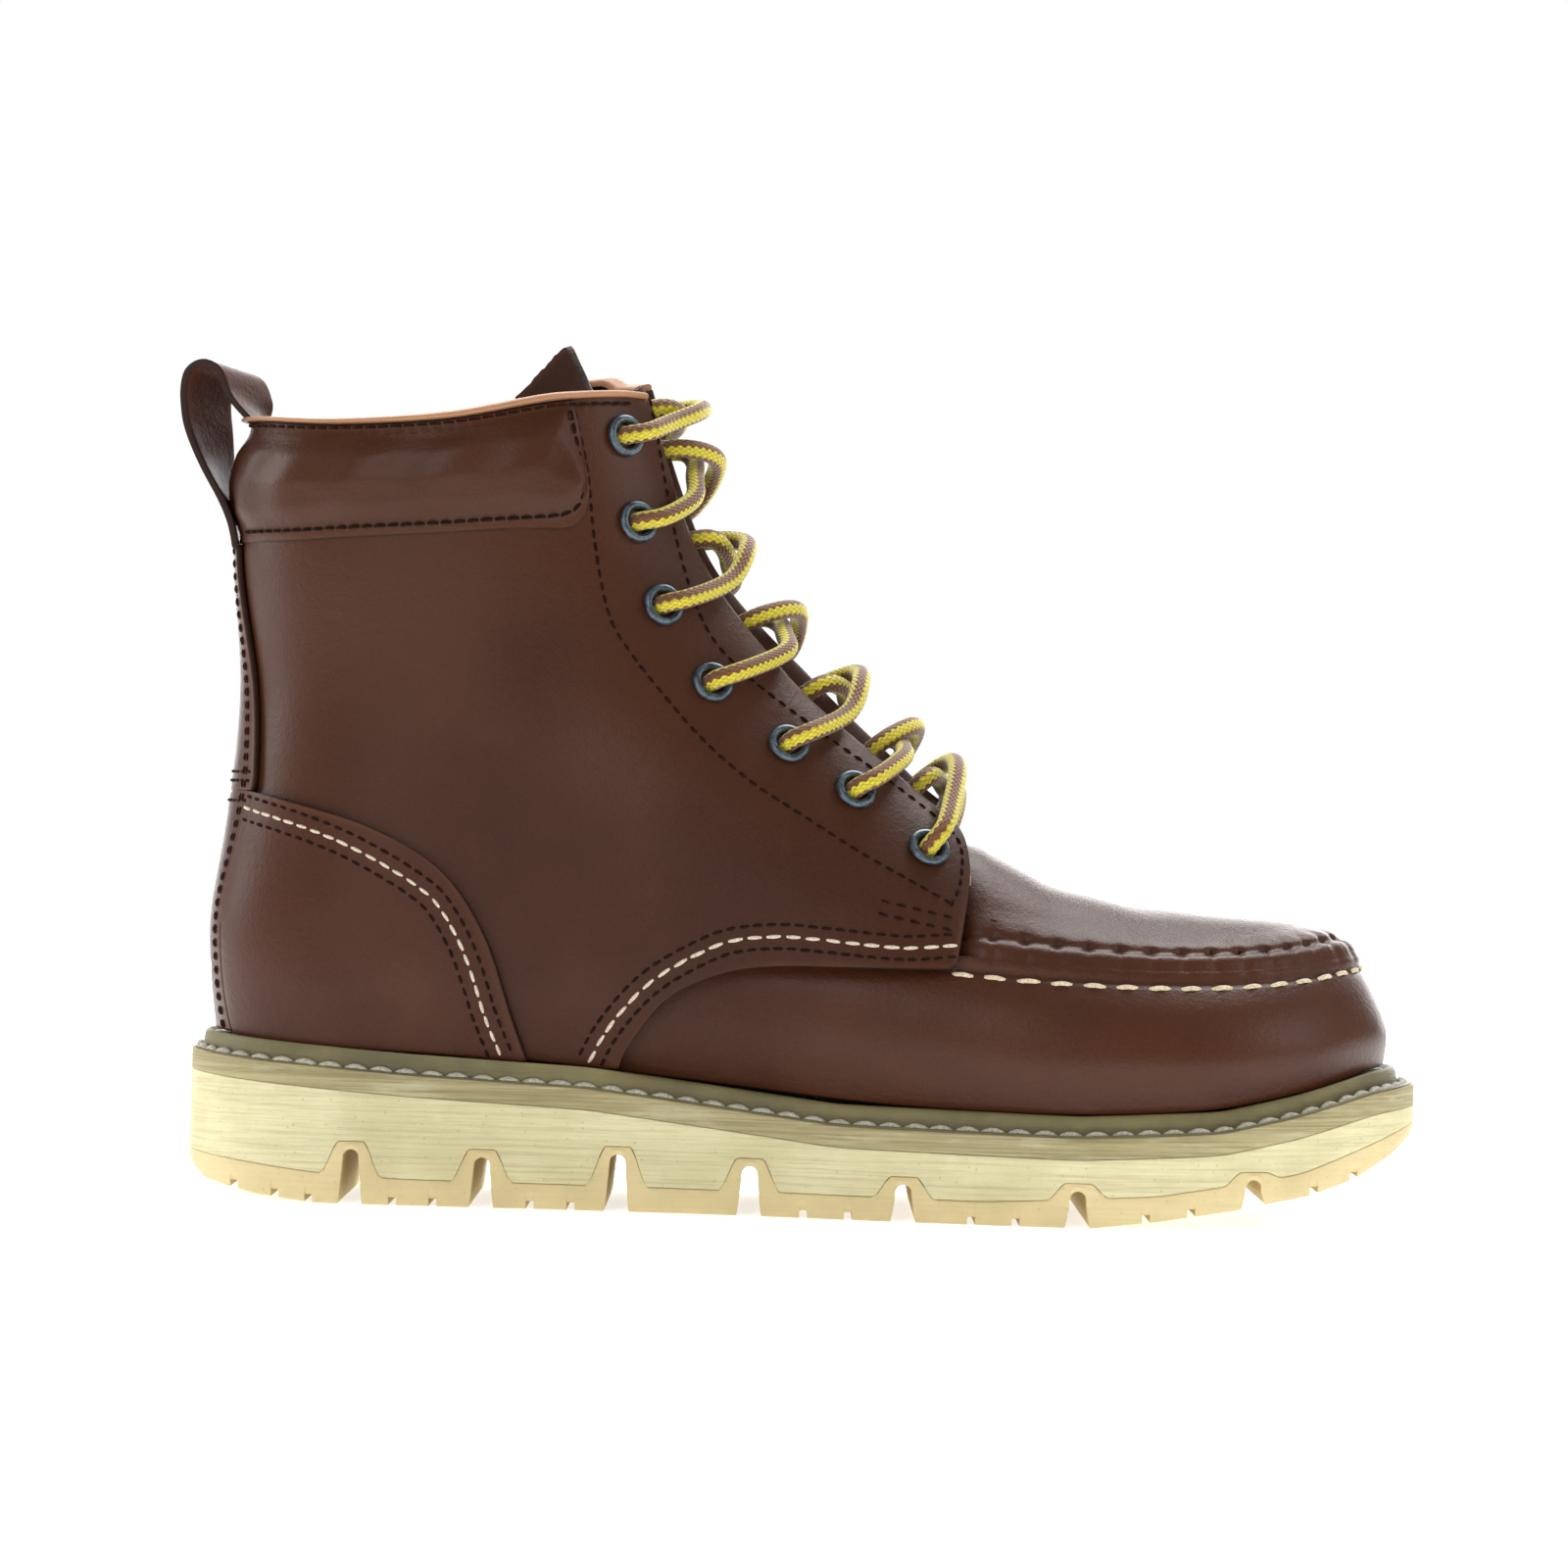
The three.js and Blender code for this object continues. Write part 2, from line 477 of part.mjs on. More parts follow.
// ---------------------------------------------------------------- the upper
function buildUpper() {
  const back = -160 * STRETCH;
  const collarZone = sideBlock([...up(COLLAR_SEAM), [back, height(230)]]);
  const seamGap = sideBlock([...up(COLLAR_SEAM).map(([x, z]) => [x + GAP, z - GAP]), [back - 5, height(230)]]);
  const belowTab = sideBlock(up([...TAB_EDGE, ...TAB_FRONT, [90, 112], [90, 20], [-45.5, 20]]));
  const counterZone = sideBlock(up([...COUNTER_EDGE, [-160, 20], [-67, 20]]));
  const halves = { 1: frontBlock([[-FAR, -5], [-GAP, -5], [-GAP, FAR], [-FAR, FAR]]),
    '-1': frontBlock([[GAP, -5], [FAR, -5], [FAR, FAR], [GAP, FAR]]) };

  const outerLayer = layer(0, -LEATHER).subtract(facingGap).subtract(belowTab).subtract(seamGap);
  const coverLayer = layer(COVER_TOP, GAP);
  const stiffLayer = layer(STIFF_TOP, STIFF_UNDER).subtract(facingGap);
  const stayZone = sideBlock(up(STAY_EDGE));
  const covers = coverLayer.intersect(counterZone).subtract(backStrip(GAP));
  for (const [name, side] of SIDES) {
    add(`quarter_${name}`, punched(outerLayer.intersect(halves[side]), side), FINISH.leather);
    add(`counter_${name}`, covers.intersect(halves[side]), FINISH.leather);
    const stay = stiffLayer.intersect(stayZone).intersect(halves[side]);
    add(`eyestay_${name}`, punched(stay, side), FINISH.fibre);
  }
  add('heel_counter', stiffLayer.intersect(sideBlock(up(HEEL_EDGE))), FINISH.fibre);
  const strip = coverLayer.intersect(backStrip(0));
  const stripAt = (low, high) => strip.intersect(sideBlock(up([[-170, low], [-90, low], [-90, high], [-170, high]])));
  add('backstay_lower', stripAt(20, 98.5), FINISH.leather);
  add('backstay_upper', stripAt(98.5 + GAP, 159.5), FINISH.leather);

  add('collar_cover', layer(COLLAR_PUFF, COLLAR_PUFF - COVER).intersect(collarZone), FINISH.leather);
  add('collar_foam', layer(COLLAR_PUFF - COVER - GAP, LINING_TOP + GAP).intersect(collarZone), FINISH.foam);

  const kept = sideBlock(up([...behindTab(VAMP_UNDER_TAB + 1), [17, 69.5], [20, 95], [44, 112], [44, 230], [-170, 230],
    [-170, 20], [-56, 20]]));
  const lining = layer(LINING_TOP, LINING_UNDER).intersect(kept).subtract(facingGap);
  add('shaft_lining', punched(punched(lining, -1), 1), FINISH.lining);
}

// The binding lies over the top edge of all the layers, and thins out in front of the collar pad
const BINDING_FOOT = 0.45;
const BINDING_TOP = 2.6;
const COLLAR_TAPER = [3.9, 4.5];
function buildBinding() {
  const puff = s => COLLAR_PUFF * (1 - THREE.MathUtils.smoothstep(Math.abs(s), ...COLLAR_TAPER)) + 0.2;
  const strip = distance => LEG_LINES.map(s => [BINDING_FOOT, BINDING_TOP].map(lift => {
    const reach = typeof distance === 'function' ? distance(s) : distance;
    return pushed(leg, s, TOP, reach).add(new THREE.Vector3(0, 0, lift));
  }));
  add('collar_binding', wall(strip(puff), strip(LINING_UNDER)).subtract(facingGap), FINISH.binding);
}

// The station of the vamp where each layer of the toe begins on both sides
const WALL_FROM = 0;
const LINING_FROM = 0.5;
const PLUG_FROM = 2;
const CAP_FROM = 4;
function buildVamp() {
  const lines = range(0, TIP * 2, 28);
  const heights = [...range(0, 1, 3), ...range(1, 2, 6).slice(1)];
  const shell = (from, [v0, v1], outer, inner) => {
    const rows = lines.filter(a => a >= from && a <= TIP * 2 - from);
    const columns = heights.filter(v => v >= v0 && v <= v1);
    const grid = depth => rows.map(a => columns.map(v => toe(a, v, depth)));
    const open = v1 === 2 ? ['first', 'last', 'low'] : undefined;
    return wall(grid(outer), grid(inner), open);
  };
  const inFront = shift => sideBlock(up([...behindTab(shift), [41.5, 69], [41.5, 112], [170, 112], [170, 20],
    [-45.5 - shift, 20]]));
  const vampWall = shell(WALL_FROM, [0, 1], 0, LEATHER).intersect(inFront(VAMP_UNDER_TAB));
  add('vamp_wall', vampWall.translate(0, 0, -GAP / 2), FINISH.leather);
  const throat = sideBlock(up([[42.5, 20], [42.5, 130], [170, 130], [170, 20]]));
  add('vamp_plug', shell(PLUG_FROM, [1, 2], 0, LEATHER).intersect(throat).translate(0, 0, GAP / 2), FINISH.leather);
  const steelTop = LEATHER + GAP * 2;
  const steelUnder = steelTop + STEEL;
  add('toe_cap', shell(CAP_FROM, [0, 2], steelTop, steelUnder), FINISH.steel);
  const liningTop = steelUnder + GAP;
  const lined = shell(LINING_FROM, [0, 2], liningTop, liningTop + LINING);
  add('vamp_lining', lined.intersect(inFront(VAMP_UNDER_TAB - 1)), FINISH.lining);
}

function buildTongue() {
  const levels = [...LEG_LEVELS.filter(h => h > 2.4), TOP + 0.28];
  const outer = LACE_LANE - LACE_DIAMETER / 2 - TONGUE_CLEARANCE;
  const grid = depth => levels.map(h => range(-1, 1, 12).map(t => {
    const edge = THREE.MathUtils.lerp(5.5, 4.95, Math.min((h - levels[0]) / 1.5, 1));
    const s = FRONT - 0.002 - Math.abs(t) * (FRONT - edge);
    const sunk = THREE.MathUtils.lerp(-TONGUE_RIDGE, outer, THREE.MathUtils.smoothstep(Math.abs(t), 0, 0.5));
    const p = pushed(leg, (t < 0 ? -1 : 1) * s, h, sunk - depth);
    if (t === 0) p.y = 0;
    return p;
  }));
  add('tongue', wall(grid(0), grid(TONGUE)), FINISH.leather);
}

function buildPullLoop() {
  const wide = frontBlock([[-STRAP_WIDTH / 2, 0], [STRAP_WIDTH / 2, 0], [STRAP_WIDTH / 2, FAR], [-STRAP_WIDTH / 2, FAR]],
    -FAR, -100 * STRETCH);
  const strip = (outer, low, high) => layer(outer, outer - STRAP, [...LEG_LEVELS, TOP + 0.25]).intersect(wide)
    .intersect(sideBlock(up([[-170, low], [-110, low], [-110, high], [-170, high]])));
  add('pull_loop_outer_end', strip(COLLAR_PUFF + GAP + STRAP, 162, 181), FINISH.leather);
  add('pull_loop_inner_end', strip(LINING_UNDER - GAP, 176, 194), FINISH.leather);
  const line = new THREE.CatmullRomCurve3([[-144.4, 181.6], [-145.4, 184.4], [-150.6, 187.6], [-155.8, 192.6],
    [-156, 199.2], [-151, 202.6], [-145, 201.4], [-139.4, 197.6]].map(([x, z]) => place(x, 0, z)));
  const sides = [1, -1].map(sign => range(0, 1, 14).map(t => {
    const tangent = line.getTangent(t);
    const out = new THREE.Vector3(-tangent.z, 0, tangent.x);
    const p = line.getPoint(t).addScaledVector(out, sign * STRAP / 2);
    return [p.clone().setY(-STRAP_WIDTH / 2), p.clone().setY(STRAP_WIDTH / 2)];
  }));
  add('pull_loop', wall(sides[0], sides[1]), FINISH.leather);
}

// ---------------------------------------------------------------- the lace
// A curve that is sampled at its own points, closer together where it turns through an eyelet
class Route extends THREE.CatmullRomCurve3 {
  getPointAt(t) {
    return this.getPoint(t);
  }

  getTangentAt(t) {
    return this.getTangent(t);
  }

  getSpacedPoints(steps) {
    return this.getPoints(steps);
  }
}

const eyeletAt = (side, row) => eyelets.find(e => e.side === side && e.name.endsWith(`_${row}`));

// Up through an eyelet from the lane behind it
function throughEyelet({ side, at, out, s, h }) {
  const forward = leg(side * (s + 0.05), h).sub(leg(side * (s - 0.05), h)).normalize();
  const knot = (depth, ahead) => at.clone().addScaledVector(out, depth).addScaledVector(forward, ahead);
  return [knot(LACE_LANE, 4.6), knot(LACE_LANE + 0.9, 0.6), knot(2.4, 0.1), knot(4.9, 2.9)];
}

// How far outside the last the middle of the lace passes the edge of a facing, and how much deeper a thicker
// lace has to dive under the other one
const EDGE_DEPTH = LACE_DIAMETER / 2 + 2.1;
const SLACK = LACE_DIAMETER / 2 - 2.3;

// From one eyelet over its facing, across the tongue and under the other facing to the next eyelet up
function crossing(from, to, proud) {
  const knot = (side, edges, rise, depth) => {
    const h = THREE.MathUtils.lerp(from.h, to.h, rise);
    const s = FRONT - edges * (FRONT - facingS(h));
    return pushed(leg, side * s, h, depth);
  };
  return [knot(from.side, 1, 0.3, EDGE_DEPTH), knot(from.side, 0.5, 0.6, proud), knot(to.side, 0.1, 0.8, proud),
    knot(to.side, 0.55, 0.93, 1.2 - SLACK), knot(to.side, 0.8, 0.97, LACE_LANE + 2 - SLACK),
    knot(to.side, 1.1, 0.97, LACE_LANE - SLACK)];
}

// Where the facing ends at a level of the leg
function facingS(h) {
  let [low, high] = [4.4, FRONT];
  for (let i = 0; i < 24; i++) {
    const mid = (low + high) / 2;
    const p = leg(mid, h);
    if (Math.abs(p.y) > lineAt(FACING, p.z) * WIDEN) low = mid;
    else high = mid;
  }
  return low;
}

// The lace climbs from the lowest eyelet of one side to the top one, crossing over at each row
function climb(side, proud) {
  const stops = EYELETS.map((_, i) => eyeletAt(i % 2 ? -side : side, EYELETS.length - i));
  return stops.flatMap((stop, i) => {
    const next = stops[i + 1];
    return next ? [...throughEyelet(stop), ...crossing(stop, next, proud)] : throughEyelet(stop);
  });
}

// The free end goes over the top of the facing and down inside the shaft
function tail(side, proud) {
  const knots = [[1, 5.75, EDGE_DEPTH, 5.82], [1, 6.5, proud, 5.88], [-1, 6.6, proud, 5.92],
    [-1, 6.15, 1 - SLACK, 5.95], [-1, 5.6, LACE_LANE + 1 - SLACK, 5.95], [-1, 5, LACE_LANE, 5.93], [-1, 4.5, LACE_LANE, 5.7], [-1, 4.3, LACE_LANE, 5.2],
    [-1, 4.2, LACE_LANE, 4.5], [-1, 4.15, LACE_LANE, 3.8]];
  return knots.map(([to, s, depth, h]) => pushed(leg, side * to * s, h, depth));
}

function buildLace() {
  const under = EDGE_DEPTH - 2.2;
  const over = under + LACE_DIAMETER + 0.5;
  const start = eyeletAt(1, EYELETS.length);
  const first = [...climb(1, over), ...tail(eyeletAt(1, 1).side * (EYELETS.length % 2 ? 1 : -1), over)];
  const second = [...climb(-1, under), ...tail(-1 * (EYELETS.length % 2 ? 1 : -1), under)];
  const edge = [1, -1].map(side => pushed(leg, side * (FRONT - 0.7 * (FRONT - facingS(start.h))), start.h + 0.05, -3));
  const middle = pushed(leg, FRONT - 0.01, start.h + 0.12, 2.6);
  const route = new Route([...first.reverse(), edge[0], middle, edge[1], ...second]);
  const round = new THREE.Shape(range(0, 2 * Math.PI, 8).slice(0, -1)
    .map(t => new THREE.Vector2(Math.cos(t) * LACE_DIAMETER / 2, Math.sin(t) * LACE_DIAMETER / 2)));
  const steps = route.points.length - 1;
  const rope = new THREE.ExtrudeGeometry(round, { steps, extrudePath: route, bevelEnabled: false });
  add('lace', rope, FINISH.lace);
  // The tips carry on straight from the ends of the lace
  const r = LACE_DIAMETER / 2;
  const tip = [[0, GAP], [r, GAP], [r, AGLET_LENGTH - 1], [r - 0.6, AGLET_LENGTH], [0, AGLET_LENGTH]];
  [[0, -1], [1, 1]].forEach(([t, way], i) => {
    const end = { at: route.getPoint(t), out: route.getTangent(t).multiplyScalar(way) };
    add(`aglet_${i + 1}`, turned(tip, end, 8), FINISH.plastic);
  });
}

buildSole();
buildUpper();
buildBinding();
buildVamp();
buildTongue();
buildEyelets();
buildPullLoop();
buildLace();

// The origin lies under the middle of the boot
const box = new THREE.Box3().setFromObject(boot);
const middle = box.getCenter(new THREE.Vector3());
boot.position.set(-middle.x, -middle.y, -box.min.z);
boot.updateMatrixWorld(true);

export default boot;
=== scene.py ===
"""Lace-up work boot with a steel toe: the leather, lace, sole and stitching of a right boot."""
import math
import bpy
import bmesh
import numpy as np
from mathutils import Matrix, Vector


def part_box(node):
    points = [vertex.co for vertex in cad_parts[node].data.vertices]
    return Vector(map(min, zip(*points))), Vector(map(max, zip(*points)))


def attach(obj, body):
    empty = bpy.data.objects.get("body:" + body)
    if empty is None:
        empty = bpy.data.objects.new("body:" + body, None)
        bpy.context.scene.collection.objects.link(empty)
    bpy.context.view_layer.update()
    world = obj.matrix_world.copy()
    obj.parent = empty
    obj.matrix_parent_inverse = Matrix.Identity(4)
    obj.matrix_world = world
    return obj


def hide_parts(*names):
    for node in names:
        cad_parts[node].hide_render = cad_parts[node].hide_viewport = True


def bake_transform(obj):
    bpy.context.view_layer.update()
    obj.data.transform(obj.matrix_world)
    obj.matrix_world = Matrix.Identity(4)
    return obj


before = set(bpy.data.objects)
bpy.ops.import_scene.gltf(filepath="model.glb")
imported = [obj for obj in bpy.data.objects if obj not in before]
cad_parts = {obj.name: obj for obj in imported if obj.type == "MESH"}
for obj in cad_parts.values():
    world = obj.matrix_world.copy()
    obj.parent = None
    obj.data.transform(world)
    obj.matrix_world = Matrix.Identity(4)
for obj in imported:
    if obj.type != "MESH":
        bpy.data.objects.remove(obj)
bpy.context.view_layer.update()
MM = 0.001

# ---------------------------------------------------------------- the place of the last in the frame
SHANK = (-100, 30)
shank_low, shank_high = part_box("shank")
loop_low, loop_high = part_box("pull_loop")
SHIFT = np.array([
    (shank_low[0] + shank_high[0]) / 2 / MM - sum(SHANK) / 2,
    (loop_low[1] + loop_high[1]) / 2 / MM,
    0.0,
])
PALE = (0.93, 0.93, 0.92)

# ---------------------------------------------------------------- camera
LOOK_FROM = (-6.8, -1500, 104)
VIEW_WIDTH = 388.3
SENSOR = 36
ROLL = 1.5
camera_data = bpy.data.cameras.new("camera")
camera_data.sensor_width = SENSOR
camera_data.lens = SENSOR * -LOOK_FROM[1] / VIEW_WIDTH
camera_data.clip_end = 100
camera = bpy.data.objects.new("camera", camera_data)
bpy.context.scene.collection.objects.link(camera)
camera.matrix_world = (
    Matrix.Translation(Vector((np.array(LOOK_FROM) + SHIFT) * MM))
    @ Matrix.Rotation(math.radians(90), 4, "X")
    @ Matrix.Rotation(math.radians(ROLL), 4, "Z")
)
bpy.context.scene.camera = camera

# ---------------------------------------------------------------- curves and surfaces of the last
# Levels of the leg from the welt to the collar: x, half width, z from the heel to the front
LEG = np.array([
    [[-143.8, 0, 40.3], [-137, 20, 39.8], [-115, 32.5, 38.2], [-76, 35, 36.3], [-28, 39, 32.2],
     [22, 46.5, 27.4], [46, 49.5, 26.9], [72, 50, 26.6]],
    [[-145.4, 0, 55], [-138.4, 22, 54.5], [-116, 36, 53], [-77, 40, 52], [-28, 45.5, 50],
     [22, 51.5, 46], [45, 53, 46], [72, 53, 46]],
    [[-145.6, 0, 70], [-138.6, 22, 70], [-116, 36, 70], [-78, 40.5, 72], [-28, 46, 74],
     [20, 46.5, 72], [40.5, 30, 86], [43, 0, 92]],
    [[-142.2, 0, 94], [-135.6, 20, 94], [-116, 33.5, 95], [-80, 39, 98], [-30, 41.5, 102],
     [8, 33, 103], [24, 17.5, 106], [27, 0, 107]],
    [[-140, 0, 124], [-133.6, 18.5, 124], [-116, 32, 125], [-84, 37.5, 127], [-46, 35.5, 129],
     [-17, 25.5, 130], [-3.5, 13, 130.5], [1, 0, 131]],
    [[-142.4, 0, 158], [-136, 19.5, 158], [-117, 33.5, 159], [-88, 38, 160], [-58, 34, 160.5],
     [-38, 24, 160], [-27, 12, 159], [-23.5, 0, 158]],
    [[-140.4, 0, 190], [-134.6, 19, 189.5], [-116, 33, 188.6], [-90, 38, 190.5], [-66, 33.5, 195.5],
     [-50, 24, 197.5], [-41, 12, 197.5], [-38, 0, 197.5]],
])
INNER_AT_WELT = np.array([1, 0.97, 0.95, 0.88, 0.76, 0.78, 0.86, 0.92])
INNER_SIDE = 0.95
VAMP = np.array([
    [[-60, 32, 35], [-20, 36, 31.2], [20, 43, 27.6], [60, 49, 26.5], [95, 46.5, 28], [121, 35, 32.6],
     [138, 17, 37.4], [143.6, 0, 38.7]],
    [[-60, 36, 46], [-20, 41, 43], [20, 47.5, 40], [60, 52, 39], [95, 49.5, 40], [121.5, 37.5, 43],
     [138.4, 19, 46.4], [144, 0, 47.2]],
    [[-60, 37, 57], [-20, 41.5, 55], [20, 47, 53], [60, 49.5, 51], [93.5, 46, 51], [119, 35, 53],
     [134.6, 18, 56], [140.2, 0, 56.8]],
    [[-60, 37, 66], [-20, 39.5, 65.5], [20, 42, 64.5], [60, 42.5, 61.5], [91, 38, 60.5], [114.5, 29, 61.8],
     [129.8, 14.5, 64], [135.4, 0, 65]],
])
VAMP_AT_WELT = np.array([0.85, 0.77, 0.79, 0.9, 0.95, 0.97, 1, 1])
VAMP_AT_SEAM = np.array([0.84, 0.84, 0.86, 0.92, 0.95, 0.97, 1, 1])
TOE_LEAN = 3
FRONT = len(LEG[0]) - 1
TOP = len(LEG) - 1
TIP = len(VAMP[0]) - 1
SEAM = len(VAMP) - 1
LATERAL, MEDIAL = 1, -1


def smooth(x, low, high):
    t = np.clip((np.asarray(x, float) - low) / (high - low), 0, 1)
    return t * t * (3 - 2 * t)


def mix(a, b, t):
    return a + (b - a) * t


def extended(net, axis):
    """A net with one more point past each end, straight on."""
    first = 2 * net.take([0], axis) - net.take([1], axis)
    last = 2 * net.take([-1], axis) - net.take([-2], axis)
    return np.concatenate([first, net, last], axis)


def weights(t, count):
    """How much of each of the points, two past the ends among them, a smooth curve takes at t."""
    t = np.asarray(t, float)
    i = np.clip(np.floor(t).astype(int), 0, count - 2)
    f = t - i
    parts = [
        0.5 * (-f + 2 * f ** 2 - f ** 3),
        0.5 * (2 - 5 * f ** 2 + 3 * f ** 3),
        0.5 * (f + 4 * f ** 2 - 3 * f ** 3),
        0.5 * (-f ** 2 + f ** 3),
    ]
    table = np.zeros((len(t), count + 2))
    for k, part in enumerate(parts):
        np.add.at(table, (np.arange(len(t)), i + k), part)
    return table


def on_net(net, a, h):
    """Points of a smooth surface through a net, at columns a and levels h."""
    across = weights(a, net.shape[1] - 2)
    up = weights(h, net.shape[0] - 2)
    return np.einsum("nl,nc,lcd->nd", up, across, net)


def leg_net(side):
    net = LEG.copy()
    slim = np.array([mix(INNER_AT_WELT, INNER_SIDE, min(level / 3, 1)) for level in range(TOP + 1)])
    net[:, :, 1] *= -side if side > 0 else -side * slim
    mirror = net[:, [1]] * [1, -1, 1]
    on_ridge = net[:, -1, 1] == 0
    straight = 2 * net[:, -1] - net[:, -2]
    after = np.where(on_ridge[:, None], net[:, -2] * [1, -1, 1], straight)
    return extended(extended(np.concatenate([mirror, net, after[:, None]], 1), 1), 0)


LEG_NETS = {side: leg_net(side) for side in (LATERAL, MEDIAL)}


def flat(*arrays):
    arrays = np.broadcast_arrays(*[np.asarray(a, float) for a in arrays])
    return arrays[0].shape, [a.ravel() for a in arrays]


def leg(s, h):
    """The leg: s runs from 0 at the heel to FRONT on the outer side and to -FRONT on the inner one."""
    shape, (s, h) = flat(s, h)
    outer = on_net(LEG_NETS[LATERAL], np.abs(s) + 1, h)
    inner = on_net(LEG_NETS[MEDIAL], np.abs(s) + 1, h)
    return np.where((s < 0)[:, None], inner, outer).reshape(*shape, 3)


def leans(x):
    return TOE_LEAN * smooth(x, 60, 144)


def vamp_net():
    levels = np.arange(SEAM + 1)[:, None] / SEAM
    slim = mix(VAMP_AT_WELT, VAMP_AT_SEAM, levels)
    outer = VAMP * [1, -1, 1]
    inner = VAMP.copy()
    inner[:, :, 1] *= slim
    net = np.concatenate([outer, inner[:, -2::-1]], 1)
    net[:, :, 1] += leans(net[:, :, 0])
    return extended(extended(net, 1), 0)


VAMP_NET = vamp_net()


def vamp(a, h):
    """The vamp: a runs from the outer waist round the toe tip at TIP to the inner waist."""
    shape, (a, h) = flat(a, h)
    return on_net(VAMP_NET, a, h).reshape(*shape, 3)


def unit(v):
    return v / np.maximum(np.linalg.norm(v, axis=-1, keepdims=True), 1e-12)


def normals(surface, s, h):
    step = 1e-3
    along = surface(s + step, h) - surface(s - step, h)
    up = surface(s, h + step) - surface(s, h - step)
    return unit(np.cross(along, up))


def pushed(surface, s, h, distance):
    s, h = np.broadcast_arrays(np.asarray(s, float), np.asarray(h, float))
    return surface(s, h) + normals(surface, s, h) * np.asarray(distance, float)[..., None]


RIDGE = [(-60, 128), (-20, 118), (20, 106), (42, 90), (60, 81), (80, 76.2), (104, 74.3), (118, 73)]
RIDGE_X = [-60, -20, 20, 58, 84, 101, 110, 113]


def plug(a, q):
    """The top piece of the toe: q climbs from the seam over a rolled edge to the ridge."""
    a, q = np.broadcast_arrays(np.asarray(a, float), np.asarray(q, float))
    edge = vamp(a, np.full(a.shape, float(SEAM)))
    x = np.interp(TIP - np.abs(a - TIP), np.arange(TIP + 1), RIDGE_X)
    ridge = np.array(RIDGE)
    top = np.stack([x, leans(x), smooth_line(ridge, x.ravel()).reshape(x.shape)], -1)
    rise = (1 - (1 - q) ** 2.4) ** 0.85
    return edge + (top - edge) * np.stack([q, q, rise], -1)


def located(view, first, second, side, reach=(0, FRONT)):
    """The (s, h) of the places on the leg that a side view (0, 2) or a back view (1, 2) shows."""
    s = np.linspace(*reach, 240)
    h = np.linspace(0, TOP + 0.4, 220)
    grid_s, grid_h = np.meshgrid(s, h, indexing="ij")
    grid = leg(side * grid_s, grid_h)[..., view].reshape(-1, 2)
    wanted = np.stack([first, second], -1)
    found = np.array([np.argmin(((grid - w) ** 2).sum(1)) for w in wanted])
    at = np.stack([grid_s.ravel()[found], grid_h.ravel()[found]], -1)
    step = 1e-3
    for _ in range(4):
        here = leg(side * at[:, 0], at[:, 1])[:, view]
        along = (leg(side * (at[:, 0] + step), at[:, 1])[:, view] - here) / step
        up = (leg(side * at[:, 0], at[:, 1] + step)[:, view] - here) / step
        det = along[:, 0] * up[:, 1] - along[:, 1] * up[:, 0]
        det = np.where(np.abs(det) < 1e-3, 1e-3, det)
        miss = wanted - here
        move = np.stack([
            (miss[:, 0] * up[:, 1] - miss[:, 1] * up[:, 0]) / det,
            (along[:, 0] * miss[:, 1] - along[:, 1] * miss[:, 0]) / det,
        ], -1)
        at = at + np.clip(move, -0.1, 0.1)
    return at


SIDE_VIEW, BACK_VIEW = [0, 2], [1, 2]


def resampled(points, count):
    """The same line with evenly spaced points."""
    points = np.asarray(points, float)
    run = np.concatenate([[0], np.cumsum(np.linalg.norm(np.diff(points, axis=0), axis=1))])
    t = np.linspace(0, run[-1], count)
    return np.stack([np.interp(t, run, points[:, k]) for k in range(points.shape[1])], -1)


def rounded(points, count=60):
    """A smooth line through a few points."""
    net = extended(np.asarray(points, float), 0)
    return weights(np.linspace(0, len(points) - 1, count), len(points)) @ net


def even_on(surface, line, count, side=1):
    """A line of (s, h) resampled so that its points are evenly spaced on the surface."""
    line = resampled(line, 400)
    run = surface(side * line[:, 0], line[:, 1])
    run = np.concatenate([[0], np.cumsum(np.linalg.norm(np.diff(run, axis=0), axis=1))])
    t = np.linspace(0, run[-1], count)
    return np.stack([np.interp(t, run, line[:, k]) for k in (0, 1)], -1)


def coons(bottom, top, left, right, size):
    """A grid of (s, h) between four lines: bottom and top run one way, left and right the other."""
    rows, columns = size
    u = np.linspace(0, 1, rows)[:, None, None]
    v = np.linspace(0, 1, columns)[None, :, None]
    low, high = resampled_to(bottom, rows)[:, None], resampled_to(top, rows)[:, None]
    first, last = resampled_to(left, columns)[None], resampled_to(right, columns)[None]
    corners = (low[0] * (1 - u) * (1 - v) + low[-1] * u * (1 - v) + high[0] * (1 - u) * v + high[-1] * u * v)
    return low * (1 - v) + high * v + first * (1 - u) + last * u - corners


def resampled_to(line, count):
    return line if len(line) == count else resampled(line, count)


# ---------------------------------------------------------------- shader maths
class Socket:
    """A number from a finish's nodes: sums and products of it add their Math nodes."""

    def __init__(self, finish, link):
        self.finish = finish
        self.link = link

    def math(self, operation, *values):
        return self.finish.node("ShaderNodeMath", {"operation": operation}, values)

    def __add__(self, other):
        return self.math("ADD", self, other)

    def __mul__(self, other):
        return self.math("MULTIPLY", self, other)

    def __sub__(self, other):
        return self.math("SUBTRACT", self, other)

    def __rsub__(self, other):
        return self.math("SUBTRACT", other, self)

    def __truediv__(self, other):
        return self.math("DIVIDE", self, other)

    def __pow__(self, other):
        return self.math("POWER", self, other)

    __radd__ = __add__
    __rmul__ = __mul__

    def step(self, low, high, start=0, end=1):
        """Goes smoothly from start to end as the number goes from low to high."""
        settings = {"interpolation_type": "SMOOTHSTEP"}
        return self.finish.node("ShaderNodeMapRange", settings, [self, low, high, start, end])


